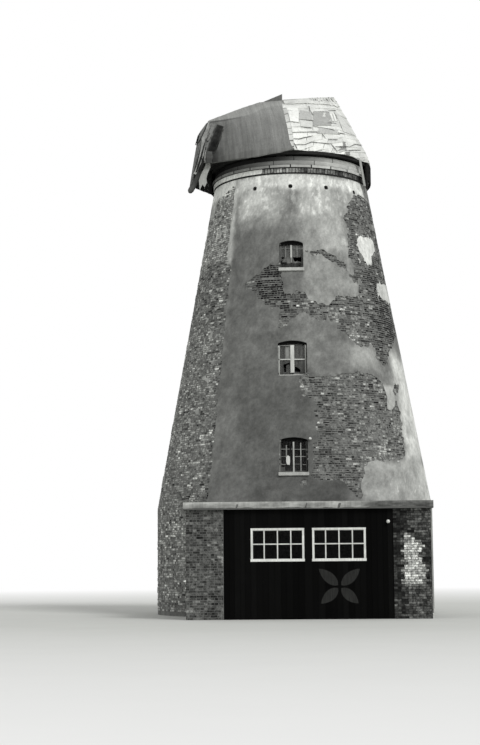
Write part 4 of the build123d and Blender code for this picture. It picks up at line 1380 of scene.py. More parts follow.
def makeFlatRoof():
    low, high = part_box("annex_roof")
    heap = Heap()

    def keep(x, y):
        drum = np.hypot(x, y) - tower["footRadius"] - roofFelt["clear"]
        edge = least(x - low[0], high[0] - x, y - low[1] - 0.003, high[1] - y)
        return np.minimum(drum, edge - 0.01)

    def strip(x):
        return fraction((x - low[0]) / roofFelt["strip"])

    def lift(x, y):
        return high[2] + 0.004 + 0.006 * strip(x) + 0.008 * cloud(x * 1.2, y * 1.2, 3)

    def tone(x, y):
        lap = roofFelt["lapDarker"] * (strip(x) > roofFelt["lap"])
        return grey(roofFelt["level"] + swing(x * 1.7, y * 1.7, 60, 5) - lap)

    carve(heap, np.linspace(low[0], high[0], 164), np.linspace(low[1], high[1], 94), keep,
          lambda x, y: np.stack([x, y, lift(x, y)], -1),
          lambda x, y: np.stack([x, y, high[2] + 0.001 + 0 * x], -1), tone)
    heap.build("annex_roof_felt", "tower", "flat_roof_felt", finishes["flatFelt"])
    print("annex roof covered")


def makeFascia():
    # a torn strip of felt nailed along the fascia
    low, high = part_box("annex_fascia")
    heap = Heap()

    def keep(x, z):
        ragged = swing(x * 3.2, z * 5 + 3, 0.09, 5)
        foot = z - low[2] - 0.025 - 0.04 * cloud(x * 1.3 + 5, 0 * x, 3) + ragged * 0.6
        level = np.minimum(foot, high[2] - 0.002 - z)
        for middle, half, tall in fascia["tears"]:
            side = np.abs(x - middle - (z - low[2]) * 0.3) - half * (0.2 + cloud(x * 9, z * 9, 2))
            level = np.minimum(level, np.maximum(side, z - low[2] - tall - 0.08))
        return least(level, x - low[0] - 0.004, high[0] - 0.004 - x)

    def tone(x, z):
        level = fascia["level"] + fascia["topLighter"] * soften(z, low[2] + 0.1, high[2])
        level = level - fascia["rightDarker"] * soften(x, 1.9, 2.9)
        return grey(level + swing(x * 2.2, z * 7, 96, 5) + swing(x * 9, z * 22, 40, 3))

    back = low[1] + 0.014
    carve(heap, np.linspace(low[0], high[0], 330), np.linspace(low[2] - 0.01, high[2] + 0.01, 16), keep,
          lambda x, z: np.stack([x, low[1] - 0.001 - 0.004 * cloud(x * 4, z * 9, 3), z], -1),
          lambda x, z: np.stack([x, back + 0 * x, z], -1), tone)
    heap.build("fascia_felt_strip", "tower", "fascia_felt", finishes["felt"])
    print("fascia felt hung")


insulators = {
    "onBoards": (3.04, 3.13),  # x and height
    "boardRings": ((0.0, 0.05), (0.03, 0.055), (0.05, 0.045), (0.09, 0.06), (0.13, 0.052), (0.148, 0.0)),
    "onTower": (6.9, 6.02),  # azimuth and height
    "towerRings": ((0.0, 0.03), (0.03, 0.05), (0.06, 0.04), (0.09, 0.05), (0.11, 0.0)),
    "tone": 0.9,
}


def makeFittings():
    low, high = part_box("annex_front")
    heap = Heap()
    x, z = insulators["onBoards"]
    addTurned(heap, np.array([x, low[1] - annex["boardThick"], z]), np.array([0, -1, 0.0]),
              insulators["boardRings"], insulators["tone"])
    azimuth, z = insulators["onTower"]
    spot = towerPoint(np.array(azimuth), np.array(z), towerRadius(z) - 0.002)
    out = np.array([math.sin(math.radians(azimuth)), -math.cos(math.radians(azimuth)), 0])
    addTurned(heap, spot, out, insulators["towerRings"], insulators["tone"])
    heap.build("insulators", "tower", "window_glass", finishes["porcelain"], smooth=True)
    print("insulators turned")


def addTurned(heap, start, axis, rings, tone, steps=14):
    # a turned piece: (distance along the axis, radius) pairs from its foot
    axis = axis / np.linalg.norm(axis)
    side = np.cross(axis, (0, 0, 1.0))
    side = side / np.linalg.norm(side)
    up = np.cross(side, axis)
    turn = np.arange(steps) / steps * 2 * math.pi
    verts = []
    for along, radius in rings:
        radius = max(radius, 0.0008)
        verts.append(start + axis * along + np.outer(np.cos(turn), side) * radius
                     + np.outer(np.sin(turn), up) * radius)
    faces = []
    for i in range(len(rings) - 1):
        for k in range(steps):
            a, b = i * steps + k, i * steps + (k + 1) % steps
            faces.append((a, a + steps, b + steps, b))
    faces.append(tuple(range(steps)))
    faces.append(tuple(range(len(rings) * steps - 1, (len(rings) - 1) * steps - 1, -1)))
    heap.add(np.concatenate(verts), faces, tone)


door = {
    "planks": 6,
    "gap": 0.008,
    "level": 22,
    "straps": (0.32, 1.78),  # heights
    # of a strap: how far it runs from the hinge side, half height, how far it stands out, thickness
    "strap": ((0.01, 0.62, 0.02, 0.021, 0.007), (0.6, 0.67, 0.032, 0.022, 0.008)),
    "strapLevel": 60,
    "knob": ((0, 0.03), (0.006, 0.03), (0.008, 0.012), (0.035, 0.012), (0.04, 0.026), (0.055, 0.024),
             (0.06, 0.01)),
}


def makeDoor():
    low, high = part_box("rear_door")
    heap = Heap()
    marks = np.linspace(low[0] + 0.004, high[0] - 0.004, door["planks"] + 1)
    for x0, x1 in zip(marks, marks[1:]):
        slab(heap, 180, -x1 + door["gap"] / 2, -x0 - door["gap"] / 2, low[2] + 0.01, high[2] - 0.006,
             high[1] + 0.012 + chance.uniform(-0.003, 0.003), 0.014, door["level"] + chance.uniform(-5, 8))
    heap.build("rear_door_planks", "tower", "door_planks", finishes["tarPieces"])
    irons = Heap()
    for height in door["straps"]:
        z = low[2] + height
        for start, end, half, proud, thick in door["strap"]:
            slab(irons, 180, -high[0] + start, -high[0] + end, z - half, z + half, high[1] + proud, thick,
                 door["strapLevel"])
    addTurned(irons, np.array([low[0] + 0.11, high[1] + 0.012, low[2] + 1.02]), np.array([0, 1.0, 0]),
              door["knob"], 0.1)
    irons.build("rear_door_irons", "tower", "door_planks", finishes["iron"])
    print("rear door planked")


# the cap, in its own axes: along the ridge to the front, across it, and up
roof = {
    "yaw": math.radians(8),
    "eave": 16.58,
    "eaveRadius": 3.1,
    "shape": ((0, 1), (0.432, 0.708), (0.765, 0.387), (0.897, 0.215), (1, 0.02)),
    "tailFlare": 0.07,
}


def ribLength(ridge, angle):
    along = ridge * math.sin(math.radians(angle))
    return -along + math.sqrt(along ** 2 + roof["eaveRadius"] ** 2 - ridge ** 2)


def ribPoints(ridge, angle, length, rise, drop, flatness):
    # near side of one rib, from the ridge down to the eave and its drop
    turn = math.radians(angle)
    lowest = roof["shape"][-1][1]
    steps = [(s * length, max(t + (1 - s - t) * flatness, lowest) * rise) for s, t in roof["shape"]]
    steps.append((length, -drop))
    return [(ridge + d * math.sin(turn), -d * math.cos(turn), roof["eave"] + h) for d, h in steps]


feltRibs = np.array([
    ribPoints(-3.1, 0, 1.45, 1.89, 0.115, 0),
    ribPoints(-1.9, 0, ribLength(-1.9, 0) + roof["tailFlare"], 2.38, 0.19, 0),
    ribPoints(-1.15, 0, ribLength(-1.15, 0), 2.65, 0.09, 0),
    ribPoints(-0.28, 0, ribLength(-0.28, 0), 2.75, 0, 0),
])
slateRibs = np.array([
    ribPoints(-0.28, 0, ribLength(-0.28, 0), 2.75, 0.001, 0),
    ribPoints(0.67, 23.4, ribLength(0.67, 23.4), 2.836, 0.001, 0.1),
    ribPoints(1.25, 48, ribLength(1.25, 48), 2.888, 0.001, 0.3),
    ribPoints(1.715, 90, roof["eaveRadius"] - 1.715, 2.93, 0.001, 0.5),
])


def capToWorld(points):
    points = np.asarray(points, float)
    c, s = math.cos(roof["yaw"]), math.sin(roof["yaw"])
    return np.stack([points[..., 0] * c - points[..., 1] * s, points[..., 0] * s + points[..., 1] * c,
                     points[..., 2]], -1)


def sectionStep(ribs, height):
    # height 1 is the ridge and 0 the eave, even along the slope
    middle = ribs[len(ribs) // 2]
    lengths = np.linalg.norm(np.diff(middle, axis=0), axis=1)
    marks = np.concatenate([[0], np.cumsum(lengths)]) / lengths.sum()
    return np.interp(1 - height, marks, np.arange(len(marks)))


def onRoof(ribs, place, height):
    # place runs from rib to rib; negative heights hang below the eave
    step = sectionStep(ribs, np.clip(height, 0, 1))
    place = np.clip(place, 0, len(ribs) - 1)
    i = np.minimum(place.astype(int), len(ribs) - 2)
    k = np.minimum(step.astype(int), ribs.shape[1] - 2)
    f, g = (place - i)[..., None], (step - k)[..., None]
    above = ribs[i, k] * (1 - f) + ribs[i + 1, k] * f
    below = ribs[i, k + 1] * (1 - f) + ribs[i + 1, k + 1] * f
    point = above * (1 - g) + below * g
    point[..., 2] += np.minimum(height, 0)
    return point


def roofPoint(ribs, side, place, height, lift):
    # side is 1 on the near slope and -1 on the far one, where place runs backwards
    place = np.asarray(place, float) * side
    height = np.asarray(height, float)
    point = onRoof(ribs, place, height)
    small = 0.01
    across = onRoof(ribs, np.minimum(place + small, len(ribs) - 1), height)
    across = across - onRoof(ribs, np.maximum(place - small, 0), height)
    upward = onRoof(ribs, place, np.clip(height + small, 0, 1))
    upward = upward - onRoof(ribs, place, np.clip(height - small, 0, 1))
    normal = np.cross(across, upward)
    normal = normal / np.maximum(np.linalg.norm(normal, axis=-1, keepdims=True), 1e-9)
    point = point + normal * np.asarray(lift)[..., None]
    point[..., 1] *= side
    return capToWorld(point)


def roofSheet(heap, ribs, side, places, heights, keep, lift, under, tone):
    # a carved sheet on the roof: lift gives its face's height over the ribs, under its back's
    carve(heap, places, heights, keep,
          lambda place, height: roofPoint(ribs, side, place, height, lift(place, height)),
          lambda place, height: roofPoint(ribs, side, place, height, 0 * place + under), tone)


felt = {
    "lap": 0.34,  # share of a bay between two lapped strips
    "torn": ((-2.84, 1.56), (-2.6, 1.45), (-2.9, 0.33), (-3.06, 0.3)),
    # height, and the place where the felt stops short of the seam on the near side
    "seam": ((0.0, 0.04, 0.12, 0.3, 0.5, 0.7, 0.86, 0.96), (3.1, 2.96, 2.87, 2.855, 2.86, 2.885, 2.94, 3.1)),
    "hang": 0.045,  # how far it hangs below the eave along the belly
    "stepPlace": 0.03,
    "stepHeight": 0.02,
}
feltGrey = {
    "base": 128,
    "tailLighter": 10,
    "highDarker": 10,
    "aboveFold": (24, 12),  # lighter above the fold, and how much of that is lost towards the tail
    "seamDarker": 18,
    "creaseShade": 44,
    "shade": 44,  # low down beside the seam
    "lap": 10,
}


def feltFold(place):
    # rise of the fold between the ridge's sheet and the side's, level over the tail
    place = np.abs(place)
    return 1.83 + 0.5 * soften(place, 1.1, 2.6)


def feltLift(place, height):
    step = 0.004 + 0.004 * fraction(np.abs(place) / felt["lap"])
    rise = onRoof(feltRibs, np.abs(place), np.clip(height, 0, 1))[..., 2] - roof["eave"]
    edge = feltFold(place) + swing(place * 3, 0 * place, 0.05, 3)
    step = step + 0.009 * (rise > edge)
    folds = 0.012 * cloud(place * 6, height * 2.2, 3) + 0.006 * cloud(place * 15, height * 5, 3)
    return step + folds


def feltTone(place, height):
    place = np.abs(place)
    rise = onRoof(feltRibs, place, np.clip(height, 0, 1))[..., 2] - roof["eave"]
    above = soften(rise - feltFold(place), -0.02, 0.03)
    level = feltGrey["base"] + feltGrey["tailLighter"] * soften(place, 0.6, 2.4)
    level = level - feltGrey["highDarker"] * soften(height, 0.75, 0.3)
    lighter, lost = feltGrey["aboveFold"]
    level = level + (lighter - lost * soften(place, 0.9, 1.6)) * above
    level = level - feltGrey["seamDarker"] * soften(1 - place, 0.1, 0.9) * (1 - above)
    # a painted shade line in the crease just below the fold
    creaseShade = np.exp(-((rise - feltFold(place) + 0.035) / 0.03) ** 2) * soften(1.0 - place, 0, 0.3)
    shade = feltGrey["shade"] * (1 - soften(place, 0.02, 0.4)) * (1 - soften(rise, 0.2, 0.6))
    level = level - feltGrey["creaseShade"] * creaseShade - shade
    level = level + swing(place * 12, height * 1.6, 26) + swing(place * 40, height * 4, 30, 3)
    return grey(level - feltGrey["lap"] * (fraction(place / felt["lap"]) > 0.975))


def makeFelt():
    for name, side in (("near", 1), ("far", -1)):
        heap = Heap()
        places = np.sort(np.arange(0, 3.001, felt["stepPlace"]) * side)

        def hang(place):
            place = np.abs(place)
            return felt["hang"] * soften(place, 0.9, 1.5) * soften(2.85 - place, 0, 0.5)

        def keep(place, height):
            ragged = swing(place * 9, height * 3, 0.05)
            level = (height + hang(place) - 0.004) * 4 + ragged * 0.5
            level = np.minimum(level, (np.abs(place) - 0.004) * 1.2 + 0.012 + ragged * 0.3)
            if side == 1:
                point = onRoof(feltRibs, place, np.clip(height, 0, 1))
                hole = flatDistance(point[..., 0], point[..., 2] - roof["eave"], felt["torn"])
                level = np.minimum(level, hole + 0.02 + ragged * 1.2)
                level = np.minimum(level, np.interp(height, *felt["seam"]) - place + 0.06 * ragged)
            return level

        heights = np.arange(-0.06, 1.001, felt["stepHeight"])
        heights[-1] = 1.0
        roofSheet(heap, feltRibs, side, places, heights, keep, feltLift, 0.001, feltTone)
        heap.build("felt_" + name, "cap", "roof_felt", finishes["felt"])
    print("felt laid")


slates = {
    # row edges as heights on the slope at the seam; each climbs towards the front
    "rows": (0.865, 0.72, 0.57, 0.41, 0.29, 0.2, 0.12, 0.05, -0.03, -0.1, -0.18, -0.26, -0.34),
    "wide": (0.3, 0.62),
    "thick": 0.012,
    "cuts": 4,
    "level": (236, 9),  # grey and its spread
    "foot": (0.022, 0.034),  # lift of a sheet's lower edge over the row below
    "head": 0.013,
    "odd": (0.044, 0.04),  # the same two for the sheets that stand out
    "jointWidth": (0.014, 0.03),
    "jointShadowGreys": (84, 128),
}
# sheets that stand out on the near slope: corners as (place, height) from the lower left, and grey
oddSheets = (
    ((0.0, 0.39), (0.19, 0.4), (0.36, 0.73), (0.02, 0.72), 253),
    ((0.48, 0.35), (0.93, 0.39), (1.42, 0.68), (0.7, 0.63), 176),
    ((1.08, 0.49), (1.22, 0.5), (1.56, 0.7), (1.42, 0.69), 248),
    ((1.28, 0.51), (1.44, 0.53), (1.8, 0.73), (1.62, 0.71), 250),
    ((1.3, 0.33), (2.0, 0.36), (2.1, 0.71), (1.86, 0.72), 222),
    ((0.22, 0.46), (0.55, 0.46), (0.63, 0.62), (0.37, 0.66), 196),
    ((0.2, 0.31), (0.44, 0.31), (0.5, 0.44), (0.24, 0.44), 224),
    ((0.5, 0.22), (0.9, 0.25), (1.06, 0.33), (0.6, 0.32), 202),
)
# dark joints that show in the photograph, drawn as painted shadow lines along the joints and laps of the
# sheets, as (place, height) runs
jointShadows = (
    ((0.0, 0.395), (0.08, 0.39), (0.22, 0.375)),
    ((0.2, 0.3), (0.44, 0.3)),
    ((0.0, 0.2), (0.16, 0.22), (0.58, 0.25)),
    ((0.0, 0.12), (0.1, 0.12), (0.4, 0.18)),
    ((0.02, 0.05), (0.2, 0.06), (0.34, 0.1), (0.52, 0.1), (0.74, 0.1)),
    ((0.92, 0.26), (1.28, 0.29)),
    ((0.78, 0.07), (1.16, 0.1), (1.56, 0.18), (2.04, 0.23)),
    ((0.68, 0.15), (0.88, 0.16)),
    ((0.22, 0.455), (0.56, 0.45)),
    ((0.48, 0.335), (0.72, 0.32), (0.92, 0.3)),
    ((0.7, 0.635), (1.42, 0.69)),
    ((1.5, 0.73), (2.2, 0.78)),
    ((0.88, 0.43), (1.24, 0.46)),
    ((0.82, 0.02), (1.76, 0.13)),
    ((0.76, 0.8), (0.64, 0.66), (0.64, 0.56)),
    ((0.6, 0.24), (0.64, 0.16)),
    ((0.72, 0.1), (0.8, 0.01)),
    ((0.0, 0.07), (0.05, 0.0)),
    ((1.44, 0.53), (1.8, 0.73)),
)


def ribbon(heap, surface, run, width, lift, thick, tone):
    # a strip along a run of points on a surface; surface turns (first, second, lift) into a place
    run = np.array(run, float)
    first, second = run[:, 0], run[:, 1]
    foot = surface(first, second, lift + 0 * first)
    over = surface(first, second, lift + 0.05 + 0 * first)
    normal = over - foot
    normal = normal / np.linalg.norm(normal, axis=1, keepdims=True)
    along = np.gradient(foot, axis=0)
    side = np.cross(normal, along)
    side = side / np.linalg.norm(side, axis=1, keepdims=True)
    wide = np.broadcast_to(np.asarray(width, float), (len(run),))[:, None]
    left, right = foot + side * wide / 2, foot - side * wide / 2
    verts = np.stack([left, right, right - normal * thick, left - normal * thick], 1).reshape(-1, 3)
    faces = []
    for i in range(len(run) - 1):
        a = i * 4
        for k in range(4):
            faces.append((a + k, a + (k + 1) % 4, a + 4 + (k + 1) % 4, a + 4 + k))
    last = (len(run) - 1) * 4
    faces += [(3, 2, 1, 0), (last, last + 1, last + 2, last + 3)]
    heap.add(verts, faces, tone)


def laySheet(heap, side, corners, tone, low, high):
    # one sheet bent over the roof from its corners, its lower edge lifted over the row below
    cuts = slates["cuts"]
    share, up = np.meshgrid(np.linspace(0, 1, cuts), np.linspace(0, 1, 3), indexing="ij")
    lowLeft, lowRight, highRight, highLeft = (np.array(c, float) for c in corners)

    def blend(axis):
        return ((lowLeft[axis] * (1 - share) + lowRight[axis] * share) * (1 - up)
                + (highLeft[axis] * (1 - share) + highRight[axis] * share) * up)

    ps = blend(0)
    hs = np.maximum(blend(1), -0.006 - 0.03 * soften(ps, 1.0, 1.7))
    lift = low + (high - low) * up + 0.005 * chance.random() * share ** 2 * (1 - up)
    if side == -1:
        ps, hs, lift = -ps[::-1], hs[::-1], lift[::-1]
    outer = roofPoint(slateRibs, side, ps, hs, lift)
    inner = roofPoint(slateRibs, side, ps, hs, lift - slates["thick"])
    rows, offset = 3, cuts * 3
    faces = []
    for i in range(cuts - 1):
        for j in range(rows - 1):
            a = i * rows + j
            faces.append((a, a + rows, a + rows + 1, a + 1))
        a = i * rows
        faces.append((a, a + offset, a + rows + offset, a + rows))
        b = a + rows - 1
        faces.append((b, b + rows, b + rows + offset, b + offset))
    for j in range(rows - 1):
        faces.append((j, j + 1, j + 1 + offset, j + offset))
        a = (cuts - 1) * rows + j
        faces.append((a, a + offset, a + 1 + offset, a + 1))
    heap.add(np.concatenate([outer.reshape(-1, 3), inner.reshape(-1, 3)]), faces, tone)


def rowEdge(start, place):
    return start + (0.13 - 0.12 * start) * min(place, 2.2)


def slantOf(place, height):
    # joints keep to the ridge's direction near the felt and follow the ribs at the front
    pull = 0.62 * (1 - float(soften(place, 1.1, 2.1)))
    return place * (1 - pull * (1 - height)) / (1 - pull * 0.5)


seam = {"start": 2.82, "top": 0.97, "level": 238, "jointShadowDarker": 110, "joint": 0.007}


def makeSeam():
    # sheets that reach past the seam over the felt's side
    heap = Heap()
    rows = np.array([row for row in slates["rows"] if row > 0] + [0])

    def keep(place, height):
        return np.minimum(place - np.interp(height, *felt["seam"]) + 0.02, 3.0 - place + 0.01)

    def tone(place, height):
        near = np.min(np.abs(height[..., None] - rows), axis=-1)
        level = seam["level"] - 20 * ((height > 0.4) & (height < 0.72))
        # the dark lines at the row edges are painted shadow under the laps
        level = level - seam["jointShadowDarker"] * (near < seam["joint"])
        return grey(level + swing(place * 14, height * 9, 30, 3))

    roofSheet(heap, feltRibs, 1, np.linspace(seam["start"], 3.0, 10), np.linspace(-0.006, seam["top"], 120),
              keep, lambda p, h: 0.02 + 0.012 * soften(p, 2.85, 3), 0.003, tone)
    heap.build("seam_sheets", "cap", "roof_sheets", finishes["slate"])


def laySlates(name, side):
    heap = Heap()
    rows = slates["rows"]
    for top, bottom in zip(rows, rows[1:]):
        place = 0.0
        while place < 2.99:
            wide = chance.uniform(*slates["wide"]) * (0.7 if place > 1.8 else 1)
            end = 3 if place + wide > 2.86 else place + wide
            level = chance.normal(*slates["level"]) - 10 * (place > 1) - 12 * (0.3 < top < 0.7)
            level += 14 * (top < 0.25) * (place < 1.2)
            drop = chance.uniform(-0.006, 0.004)
            corners = []
            for p, edge in ((place, bottom), (end, bottom), (end, top), (place, top)):
                height = rowEdge(edge, p) + (drop if edge == bottom else 0.022)
                gap = 0.008 if p == end else 0
                corners.append((min(slantOf(p, max(height, 0)), 3) - gap, height))
            if max(c[1] for c in corners[2:]) > 0.03:
                corners = [(p, min(h, 0.87)) for p, h in corners]
                laySheet(heap, side, corners, grey(level), chance.uniform(*slates["foot"]), slates["head"])
            place = end
    for *corners, level in (oddSheets if side == 1 else oddSheets[4:]):
        laySheet(heap, side, corners, grey(level), *slates["odd"])
    heap.build("slates_" + name, "cap", "roof_sheets", finishes["slate"])


def drawJointShadows(name, side):
    # dark strips of painted shadow along the joints and laps
    heap = Heap()

    def surface(place, height, lift):
        return roofPoint(slateRibs, side, place * side, height, lift)

    for run in jointShadows:
        points = [np.array(run[0], float)]
        for p, q in zip(run, run[1:]):
            points += [np.array(p) + (np.array(q) - p) * s for s in (0.25, 0.5, 0.75, 1.0)]
        width = chance.uniform(*slates["jointWidth"], len(points))
        width[0] = width[-1] = 0.008
        ribbon(heap, surface, points, width, 0.049, 0.008, grey(chance.uniform(*slates["jointShadowGreys"])))
    heap.build("joint_shadows_" + name, "cap", "roof_sheets", finishes["slate"])


ridgeStrip = {"foot": 0.865, "level": 226, "spots": 110, "line": 90, "lift": 0.042}


def layRidgeStrip(name, side):
    # the worn strip of sheets along the ridge
    heap = Heap()
    places = np.sort(np.arange(0, 3.001, 0.025) * side)

    def keep(place, height):
        worn = soften(np.abs(place), 0.8, 1.4) * (cloud(place * 22, height * 30, 3) - 0.62) * 0.5
        foot = (height - ridgeStrip["foot"]) * 3 + swing(place * 8, 0 * place, 0.14)
        edge = (np.abs(place) - 0.02) * 1.5
        return least(foot, edge, np.maximum(-worn + 0.02, (height < 0.9) - 0.5))

    def tone(place, height):
        spots = soften(cloud(place * 16 + 4, height * 34, 3), 0.5, 0.66) * ridgeStrip["spots"]
        spots = spots * soften(np.abs(place), 0.9, 1.5)
        line = ridgeStrip["line"] * np.exp(-((height - 0.982) / 0.008) ** 2)
        line = line * soften(0.8 - np.abs(place), 0, 0.4)
        level = ridgeStrip["level"] - spots * (height > 0.93) - line
        return grey(level + swing(place * 4 + 8, height * 8, 40, 3))

    roofSheet(heap, slateRibs, side, places, np.linspace(0.84, 1, 18), keep,
              lambda p, h: ridgeStrip["lift"] + 0.008 * cloud(p * 7, h * 9, 3), 0.02, tone)
    heap.build("ridge_strip_" + name, "cap", "roof_sheets", finishes["slate"])


def makeSlates():
    for name, side in (("near", 1), ("far", -1)):
        laySlates(name, side)
        drawJointShadows(name, side)
        if side == 1:
            makeSeam()
        layRidgeStrip(name, side)
    print("slates laid")


skirts = {
    # top and drop are below the eave, inset is that of the boards' inner face from the radius,
    # extra is thickness added to each board
    "front": {
        "start": -28.5, "end": 65, "top": 0.004, "drop": 0.63, "inset": 0.002, "extra": 0, "level": 20,
    },
    "tail": {
        "start": 145, "end": 177, "top": 0.02, "drop": 0.79, "inset": 0.041, "extra": 0.035, "level": 40,
    },
    "radius": 3.031,
    "shades": (0.7, 1.4),
    "board": 0.145,
    "widths": (0.85, 1.15),
    "gap": 0.006,
    "thick": 0.012,
    "apronThick": 0.03,
    "slantTop": (-41.5, -38.6),
    "slantFoot": (-35.0, -31.4),
    "slantDrop": 0.95,
    "slantLevel": 168,
    "plankAcross": -1.28,
    "plankThick": 0.024,
    "plankLevel": 176,
}
# boards under the tail, in the plane of the ridge: along the ridge and height
tailApron = (
    ((-3.6, 15.85), (-3.42, 15.79), (-3.42, 16.46), (-3.6, 16.46)),
    ((-3.417, 15.78), (-3.27, 15.72), (-3.27, 16.46), (-3.417, 16.46)),
    ((-3.267, 15.73), (-3.137, 15.68), (-3.137, 16.46), (-3.267, 16.46)),
    ((-3.134, 15.67), (-2.99, 15.62), (-2.99, 16.46), (-3.134, 16.46)),
)
hangingPlank = (
    (-3.18, 16.56), (-3.29, 16.56), (-3.38, 16.31), (-3.5, 16.07), (-3.58, 15.85), (-3.556, 15.455),
    (-3.452, 15.69), (-3.371, 15.586), (-3.281, 15.765), (-3.303, 15.906), (-3.253, 16.12), (-3.152, 16.334),
    (-3.16, 16.5))
# the round brace under the tail: along the ridge, height and radius down to its rounded foot
brace = {
    "across": -1.051,
    "run": ((-3.27, 16.95, 0.084), (-3.39, 16.56, 0.088), (-3.52, 16.216, 0.09), (-3.65, 15.91, 0.096),
            (-3.77, 15.67, 0.106), (-3.86, 15.52, 0.108), (-3.9, 15.455, 0.086), (-3.925, 15.42, 0.04)),
    "level": 74,
    "litLighter": 26,
    "steps": 18,
}


def onCap(angle, z, radius):
    # angle in degrees from the ridge's front end
    turn = np.radians(angle)
    return capToWorld(np.stack([radius * np.cos(turn), radius * np.sin(turn), z], -1))


def makeSkirts():
    for name in ("front", "tail"):
        part = skirts[name]
        heap = Heap()
        step = math.degrees(skirts["board"] / skirts["radius"])
        gap = math.degrees(skirts["gap"] / skirts["radius"])
        angle = part["start"]
        while angle < part["end"] - gap:
            end = min(angle + step * chance.uniform(*skirts["widths"]), part["end"])
            low = roof["eave"] - part["drop"] + chance.uniform(0.0, 0.03)
            tone = grey(part["level"]) * chance.uniform(*skirts["shades"])
            thick = skirts["thick"] + chance.uniform(-0.003, 0.004)
            bentBoard(heap, onCap, angle, end - gap, low, roof["eave"] - part["top"],
                      skirts["radius"] - part["inset"], part["extra"] + thick, tone)
            angle = end
        if name == "tail":
            for outline in tailApron:
                tone = grey(part["level"]) * chance.uniform(*skirts["shades"])
                flatOnCap(heap, outline, 0.0, skirts["apronThick"], tone)
        piece = heap.build("skirt_boards_" + name, "cap", "skirt_timber", finishes["skirtPieces"])
        if name == "tail":
            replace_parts(piece, "tail_skirt")
    print("skirts boarded")


def makeLooseBoards():
    # one slanting board on the front skirt and the ragged plank that hangs at the tail
    heap = Heap()
    top, foot = skirts["slantTop"], skirts["slantFoot"]
    high, low = roof["eave"] - 0.02, roof["eave"] - skirts["slantDrop"]
    corners = []
    for radius in (skirts["radius"] + 0.016, skirts["radius"] - 0.004):
        for angle, z in ((foot[0], low), (foot[1], low + 0.02), (top[1], high), (top[0], high)):
            corners.append(onCap(np.array(angle), np.array(z), np.array(radius)))
    heap.add(np.array(corners), boxFaces, grey(skirts["slantLevel"]))
    flatOnCap(heap, hangingPlank, skirts["plankAcross"], skirts["plankThick"], grey(skirts["plankLevel"]))
    piece = heap.build("loose_boards", "cap", "gable_timber", finishes["silverPieces"])
    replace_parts(piece, "hanging_plank")
    print("loose boards nailed")


def flatOnCap(heap, outline, v, thick, tone):
    # a flat piece in a plane along the ridge, facing the near side
    points = np.array(outline, float)
    if np.sum(points[:, 0] * np.roll(points[:, 1], -1) - np.roll(points[:, 0], -1) * points[:, 1]) < 0:
        points = points[::-1]
    front, back = (capToWorld(np.stack([points[:, 0], np.full(len(points), deep), points[:, 1]], 1))
                   for deep in (v, v + thick))
    prism(heap, front, back, tone)


def makeBrace():
    run, steps = np.array(brace["run"]), brace["steps"]
    marks = np.linspace(0, len(run) - 1, 29)
    along, height, radius = (np.interp(marks, range(len(run)), run[:, k]) for k in range(3))
    axis = np.stack([along, 0 * along + brace["across"], height], 1)
    down = np.gradient(axis, axis=0)
    down = down / np.linalg.norm(down, axis=1, keepdims=True)
    side = np.array([0, 1.0, 0])
    turn = np.arange(steps) / steps * 2 * math.pi
    verts = []
    for middle, ahead, r in zip(axis, down, radius):
        out = np.cross(ahead, side)
        wobble = r * (1 + swing(np.cos(turn) * 1.5 + middle[2] * 4, np.sin(turn) * 1.5, 0.12, 3))
        verts.append(middle + np.outer(np.cos(turn) * wobble, side) + np.outer(np.sin(turn) * wobble, out))
    faces = []
    for i in range(len(axis) - 1):
        for k in range(steps):
            a, b = i * steps + k, i * steps + (k + 1) % steps
            faces.append((a, b, b + steps, a + steps))
    last = (len(axis) - 1) * steps
    faces += [tuple(reversed(range(steps))), tuple(last + k for k in range(steps))]
    lit = 0.5 + np.tile(np.cos(turn + 2), len(axis)) * 0.5
    tones = grey(brace["level"] + brace["litLighter"] * soften(np.repeat(marks, steps), 3, 5) * lit)
    heap = Heap()
    heap.add(capToWorld(np.concatenate(verts)), faces, tones)
    piece = heap.build("tail_log", "cap", "gable_timber", finishes["logPieces"])
    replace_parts(piece, "tail_brace")
    print("tail brace rounded")


# the tail's near side between two ribs, and the torn edge of its felt, as (along the ridge, rise)
tail = {
    "verge": -3.1,
    "half": (1.45, 2.5195),
    "rise": (1.89, 2.38),
    "step": 1.2,
    "hole": ((-2.82, 1.62), (-2.62, 1.4), (-2.7, 1.08), (-2.98, 0.26), (-3.28, 0.3), (-3.12, 0.84),
             (-2.99, 1.2)),
    "stripThick": 0.018,
    "edgeLevel": 78,
    "edgeThick": 0.012,
    "edgeLift": (0.04, 0.055),  # lift of the torn edge, and how far it dips into the hole
}
